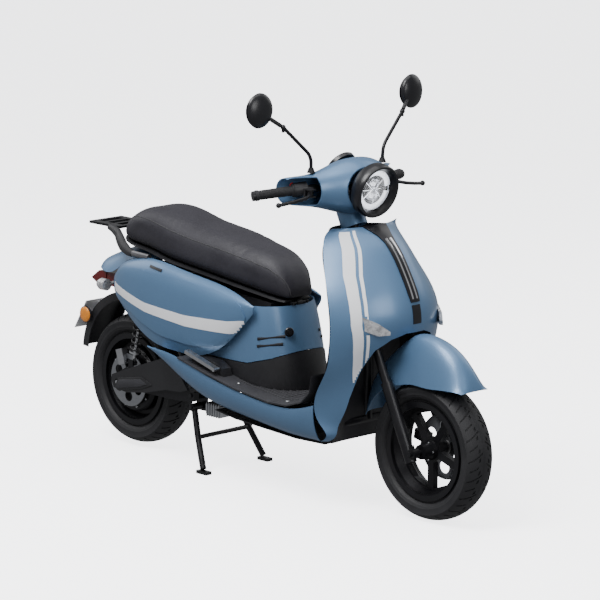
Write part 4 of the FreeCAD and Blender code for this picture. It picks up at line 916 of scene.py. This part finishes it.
def spineEdge(z):
    return -smoothly([(0.70, 0.012), (0.716, 0.020), (0.74, 0.022), (0.895, 0.023), (0.915, 0.030),
                      (0.942, 0.052)], z)


apronStrip("wideStripe", 0.931, 0.37, stripeEdge, 0.027, 0.0004, 0.0004, stuff["whiteVinyl"])
apronStrip("narrowStripe", 0.934, 0.44, lambda z: stripeEdge(z) + 0.0345, 0.0085, 0.0004, 0.0004,
           stuff["whiteVinyl"], 3)
apronStrip("spineTrim", 0.9415, 0.712, spineEdge, lambda z: -2 * spineEdge(z), 0.0008, 0.0035,
           stuff["darkTrim"], 10)
apronStrip("spineChromeRight", 0.905, 0.722, -0.0125, 0.006, 0.0038, 0.0025, stuff["chromePlate"],
           3)
apronStrip("spineChromeLeft", 0.905, 0.722, 0.0055, 0.006, 0.0038, 0.0025, stuff["chromePlate"],
           3)
apronStrip("spineLowerPlate", 0.704, 0.643, -0.018, 0.036, 0.0006, 0.0018, stuff["darkTrim"],
           4)
print("front trim laid")

# ---- side covers: raised oval panel with its ridge, stripe and small plates

coverShape = {"rows": 26, "columns": 64, "centre": (-0.350, 0.585), "half": (0.345, 0.108),
              "tilt": -0.045, "rise": 0.0035}


def coverHeight(x):
    # middle height and half height of the oval along the cover
    middle = smoothly([(-0.70, 0.603), (-0.56, 0.604), (-0.40, 0.578), (-0.20, 0.566), (-0.06, 0.575),
                       (0.05, 0.592)], x)
    half = smoothly([(-0.70, 0.001), (-0.69, 0.022), (-0.66, 0.045), (-0.60, 0.066), (-0.50, 0.090),
                     (-0.38, 0.106), (-0.24, 0.108), (-0.12, 0.096), (-0.04, 0.074), (0.005, 0.046),
                     (0.024, 0.022), (0.030, 0.001)], x)
    return middle, half


def coverPiece(name, side, reach, lift, thickness, material, span=(-0.70, 0.030), across=None):
    def place(u, v):
        x = span[0] + (span[1] - span[0]) * v
        middle, half = coverHeight(x)
        if across:
            low, high = across(x)
            z = low + (high - low) * u
        else:
            z = middle + half * reach * (2 * u - 1)
        return (x, side * 0.40, z)

    piece = wrapped(name, "side_covers", place, (0, -side, 0), coverShape["rows"],
                    coverShape["columns"], lift, thickness)
    return finish(piece, "root", material, 40)


def coverStripe(x):
    low = smoothly([(-0.680, 0.590), (-0.656, 0.582), (-0.461, 0.543), (-0.244, 0.525), (-0.042, 0.527),
                    (0.041, 0.537)], x)
    high = smoothly([(-0.680, 0.620), (-0.656, 0.612), (-0.461, 0.575), (-0.244, 0.563), (-0.042, 0.570),
                     (0.041, 0.582)], x)
    return low, high


for word, side in (("Right", -1), ("Left", 1)):
    coverPiece("coverPanel" + word, side, 1, 0.0006, coverShape["rise"], stuff["bluePaint"])
print("side covers panelled")

for word, side in (("Right", -1), ("Left", 1)):
    coverPiece("coverStripe" + word, side, 1, 0.0044, 0.0004, stuff["whiteVinyl"],
               (-0.668, 0.024), coverStripe)
    coverPiece("stripeEndPlate" + word, side, 1, 0.0010, 0.002, stuff["gunMetalAndRackHighlight"],
               (-0.694, -0.674), lambda x: (0.592, 0.622))
    coverPiece("coverVent" + word, side, 1, 0.0006, 0.0018, stuff["darkTrim"],
               (-0.452, -0.384), lambda x: (0.694 - 0.10 * (x + 0.42), 0.703 - 0.10 * (x + 0.42)))
print("side covers striped")

# ---- seat post: vent slots, lock surround and keyhole


def onNode(node, origin, way):
    # where a straight line from the origin meets the outside of a CAD node
    found, spot, normal, _ = cadNodes[node].ray_cast(Vector(origin), Vector(way).normalized())
    return (spot, normal) if found else (Vector(origin), -Vector(way))


for word, side in (("Right", -1), ("Left", 1)):
    for number, height in enumerate((0.487, 0.512)):
        start = onNode("seat_post_cowl", (0.062, side * 0.4, height + 0.006), (0, -side, 0))[0]
        middle = onNode("seat_post_cowl", (0.100, side * 0.4, height + 0.012), (0, -side, 0))[0]
        stop = onNode("seat_post_cowl", (0.130, side * 0.4, height + 0.016), (0, -side, 0))[0]
        vent = tubeAlong("postVent%s%d" % (word, number), [start, middle, stop], 0.0055)
        finish(vent, "root", stuff["darkTrim"])
low, high = [Vector(corner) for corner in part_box("seat_lock")]
lockWay = Vector((0.918, -0.395, 0)).normalized()
lockMiddle = (low + high) / 2
collar = revolved("lockSurround", [(0.0115, 0), (0.0165, 0), (0.0165, 0.002), (0.0145, 0.0042),
                                   (0.0115, 0.0042)], lockMiddle - lockWay * 0.002, lockWay, 48)
finish(collar, "root", stuff["darkTrim"])
key = block("lockKeyhole", (0.0008, 0.002, 0.009), lockMiddle + lockWay * 0.0062, 0.0003,
            (0, 0, math.atan2(lockWay.y, lockWay.x)))
finish(key, "seat_lock", stuff["darkTrim"])
print("seat post trimmed")

# ---- footwell: ribs moulded in the mat, and screws


def matRib(name, side, start, stop, inset):
    spots = []
    for step in range(13):
        x = start + (stop - start) * step / 12
        spot = onNode("floor_board", (x, side * inset, 0.60), (0, 0, -1))[0]
        spots.append(spot + Vector((0, 0, 0.0006)))
    return tubeAlong(name, spots, 0.0016, 3, 4)


ribs = []
for side in (-1, 1):
    for number, inset in enumerate((0.045, 0.065, 0.085, 0.105, 0.125, 0.145, 0.165)):
        start = -0.02 + 0.004 * number
        ribs.append(matRib("rib", side, start, 0.285 - 0.004 * number, inset))
finish(joined("floorRibs", ribs), "root", stuff["matRubber"])
heads = []
for x, side in ((0.02, -1), (0.02, 1), (0.26, -1), (0.26, 1)):
    spot = onNode("floor_board", (x, side * 0.190, 0.60), (0, 0, -1))[0]
    heads.append(screw("head", spot - Vector((0, 0, 0.0005)), (0, 0, 1), 0.0065, 0.003))
finish(joined("floorScrews", heads), "root", stuff["brightSteel"])
print("footwell ribbed")

# ---- rear: mudguard ribs, reflectors, rack feet and arms, and the swingarm cover inserts


def mudguardRibs():
    lines = []
    centre = Vector((-0.697, 0, 0.305))
    for across in (-0.054, -0.036, -0.018, 0, 0.018, 0.036, 0.054):
        spots = []
        for step in range(12):
            angle = math.radians(178 - step * 4.2)
            way = Vector((math.cos(angle), 0, math.sin(angle)))
            origin = centre + way * 0.42 + Vector((0, across, 0))
            spot, normal = onNode("rear_fender", origin, -way)
            if (spot - origin).length > 0.005:
                spots.append(spot + way * 0.0005)
        if len(spots) > 3:
            lines.append(tubeAlong("line", spots, 0.0022, 3, 4))
    if lines:
        finish(joined("mudguardRibs", lines), "root", stuff["blackPlastic"])


mudguardRibs()
for word, side in (("Right", -1), ("Left", 1)):
    centre = Vector((-0.917, side * 0.078, 0.451))
    lens = revolved("reflector" + word, [(0, 0), (0.0265, 0), (0.0275, 0.002), (0.0275, 0.006),
                                              (0.025, 0.0085),
                                         (0.012, 0.0095), (0, 0.0098)], centre, (0, side, 0), 56)
    finish(lens, "root", stuff["amberLens"], 50)
    cup = revolved("reflectorCup" + word, [(0, -0.004), (0.0285, -0.004), (0.0300, -0.002),
                                           (0.0300, 0.004), (0.0278, 0.0045), (0.0278, 0),
                                           (0, 0)], centre, (0, side, 0), 56)
    finish(cup, "root", stuff["blackPlastic"])
    arm = tubeAlong("reflectorArm" + word, [centre + Vector((0, -side * 0.002, 0)),
                                            centre + Vector((0.004, -side * 0.02, 0.004)),
                                            centre + Vector((0.010, -side * 0.045, 0.006))], 0.005)
    finish(arm, "root", stuff["blackPlastic"])

strapSides = 20
strapLean = 0.35


def wrappedRings(name, places, widths, thick, side):
    # a flat oval bar skinned ring by ring along its bent middle line
    strap = startPiece("grid", name, x_subdivisions=len(places) - 1, y_subdivisions=strapSides, size=1)
    rings = len(places)
    middles = [Vector(place) for place in places]
    for spot in strap.data.vertices:
        step = round((spot.co.x + 0.5) * (rings - 1))
        turn = (spot.co.y + 0.5) * 2 * math.pi
        ahead = (middles[min(step + 1, rings - 1)] - middles[max(step - 1, 0)]).normalized()
        across = ahead.cross(Vector((0, side, strapLean)).normalized()).normalized()
        outward = across.cross(ahead).normalized()
        spot.co = middles[step] + across * widths[step] * math.cos(turn) + outward * thick * math.sin(turn)
    edit(strap, "VERT")
    bpy.ops.mesh.remove_doubles(threshold=0.00001)
    bpy.ops.mesh.fill_holes(sides=0)
    bpy.ops.mesh.select_all(action="SELECT")
    bpy.ops.mesh.normals_make_consistent(inside=False)
    stopEditing()
    return strap


for word, side in (("Right", -1), ("Left", 1)):
    # the rack foot is grey metal where the rack is satin black: a painted highlight
    foot = tubeAlong("rackFoot" + word, [(-0.590, side * 0.134, 0.724), (-0.560, side * 0.1365, 0.7235),
                                         (-0.530, side * 0.1372, 0.7225),
                                         (-0.497, side * 0.138, 0.7215)], 0.0112)
    finish(foot, "root", stuff["gunMetalAndRackHighlight"])
    # the cast arm widens from the rack plate down to its foot
    spine = [(-0.790, 0.0675, 0.7850, 0.012), (-0.756, 0.0810, 0.7835, 0.014),
             (-0.716, 0.0950, 0.7755, 0.017),
             (-0.684, 0.1110, 0.7580, 0.020), (-0.652, 0.1245, 0.7405, 0.020),
             (-0.616, 0.1325, 0.7280, 0.016),
             (-0.588, 0.1358, 0.7232, 0.0125)]
    strap = wrappedRings("rackArm" + word, [(x, side * y, z) for x, y, z, wide in spine],
                         [wide for x, y, z, wide in spine], 0.0100, side)
    finish(strap, "root", stuff["blackPlastic"], 50)


def armCoverInsert(name, outline, depth, spot, material):
    piece = slab(name, outline, depth, (0, 0, 0), (0, 0, 1), 0.0016)
    piece.matrix_world = (Matrix.Translation(spot)
                          @ Matrix.Rotation(math.radians(90), 4, "X"))
    settle(piece)
    return finish(piece, "rear_swing", material)


low, high = [Vector(corner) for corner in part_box("swingarm_cover")]
armCoverInsert("coverInsertFrame", [(-0.708, 0.224), (-0.688, 0.262), (-0.560, 0.284), (-0.505, 0.262),
                                    (-0.560, 0.240), (-0.690, 0.214)], 0.004,
               (0, low.y + 0.001, 0), stuff["blackPlastic"])
armCoverInsert("coverInsertPad", [(-0.696, 0.230), (-0.681, 0.256), (-0.566, 0.275), (-0.530, 0.262),
                                  (-0.566, 0.248), (-0.684, 0.223)], 0.0025,
               (0, low.y - 0.003, 0), stuff["matRubber"])
print("rear trimmed")

# ---- inside the apron: a dark liner over the wheel, and the display facing the rider

linerRows = [
    # height, back x, back half width, edge x, edge half width
    (0.235, 0.452, 0.135, 0.470, 0.188), (0.300, 0.452, 0.145, 0.500, 0.182),
    (0.394, 0.450, 0.150, 0.528, 0.174), (0.470, 0.450, 0.146, 0.552, 0.160),
    (0.530, 0.456, 0.136, 0.580, 0.142), (0.575, 0.472, 0.118, 0.600, 0.120),
    (0.605, 0.500, 0.090, 0.620, 0.098), (0.625, 0.540, 0.060, 0.634, 0.080)]
liner = startPiece("grid", "wheelLiner", x_subdivisions=24, y_subdivisions=14, size=1)
for vertex in liner.data.vertices:
    across, along = vertex.co.x * 2, vertex.co.y + 0.5
    z = linerRows[0][0] + (linerRows[-1][0] - linerRows[0][0]) * along
    backX, backHalf, edgeX, edgeHalf = [
        smoothly([(row[0], row[part]) for row in linerRows], z) for part in (1, 2, 3, 4)]
    share = abs(across)
    if share < 0.7:
        spot = (backX + 0.012 * (share / 0.7) ** 3, backHalf * share / 0.7)
    else:
        more = (share - 0.7) / 0.3
        spot = (backX + 0.012 + (edgeX - backX - 0.012) * more,
                backHalf + (edgeHalf - backHalf) * more ** 1.5)
    vertex.co = (spot[0], math.copysign(spot[1], across), z)
modify(liner, "SOLIDIFY", thickness=0.002, offset=0)
edit(liner)
bpy.ops.mesh.normals_make_consistent(inside=False)
stopEditing()
finish(liner, "root", stuff["blackPlastic"], 40)

display = revolved("speedDisplay", [(0, 0), (0.044, 0), (0.048, 0.002), (0.048, 0.008), (0.045, 0.011),
                                    (0.041, 0.010), (0, 0.009)], (0, 0, 0), (0, 0, 1), 64)
back_spot, back_normal = onNode("handlebar_cowl", (0.20, 0, 1.16), (1, 0, -0.30))
placed(display, back_spot - back_normal * 0.003, back_normal)
finish(display, "steering", stuff["displayGlass"])
rim = revolved("displayRim", [(0.046, -0.003), (0.054, -0.003), (0.054, 0.009), (0.051, 0.0125),
                              (0.048, 0.0125),
                              (0.046, 0.009)], back_spot - back_normal * 0.003, back_normal, 64)
finish(rim, "steering", stuff["darkTrim"])
print("cockpit finished")

# ---- mirror glasses
mirrorMiddle = Vector((0.297, 0.350, 1.338))
mirrorReach = 0.15
for word, side in (("Left", 1), ("Right", -1)):
    behind = (mirrorMiddle.x - mirrorReach, side * mirrorMiddle.y, mirrorMiddle.z)
    spot, normal = onNode("mirror_" + word.lower(), behind, (1, 0, 0))
    glass = revolved("mirrorFace" + word, [(0, 0), (0.0475, 0), (0.0490, 0.0006), (0.0490, 0.0016),
                                           (0.0480, 0.0020), (0, 0.0020)], spot, normal, 72)
    finish(glass, "mirror_" + word.lower(), stuff["mirrorGlass"], 30)
    edging = revolved("mirrorRim" + word, [(0.0492, -0.001), (0.0530, -0.001), (0.0540, 0.001),
                                           (0.0525, 0.0032),
                                           (0.0500, 0.0032), (0.0492, 0.0016)], spot, normal, 72)
    finish(edging, "mirror_" + word.lower(), stuff["darkTrim"], 40)
print("mirrors glazed")

print("pieces done")
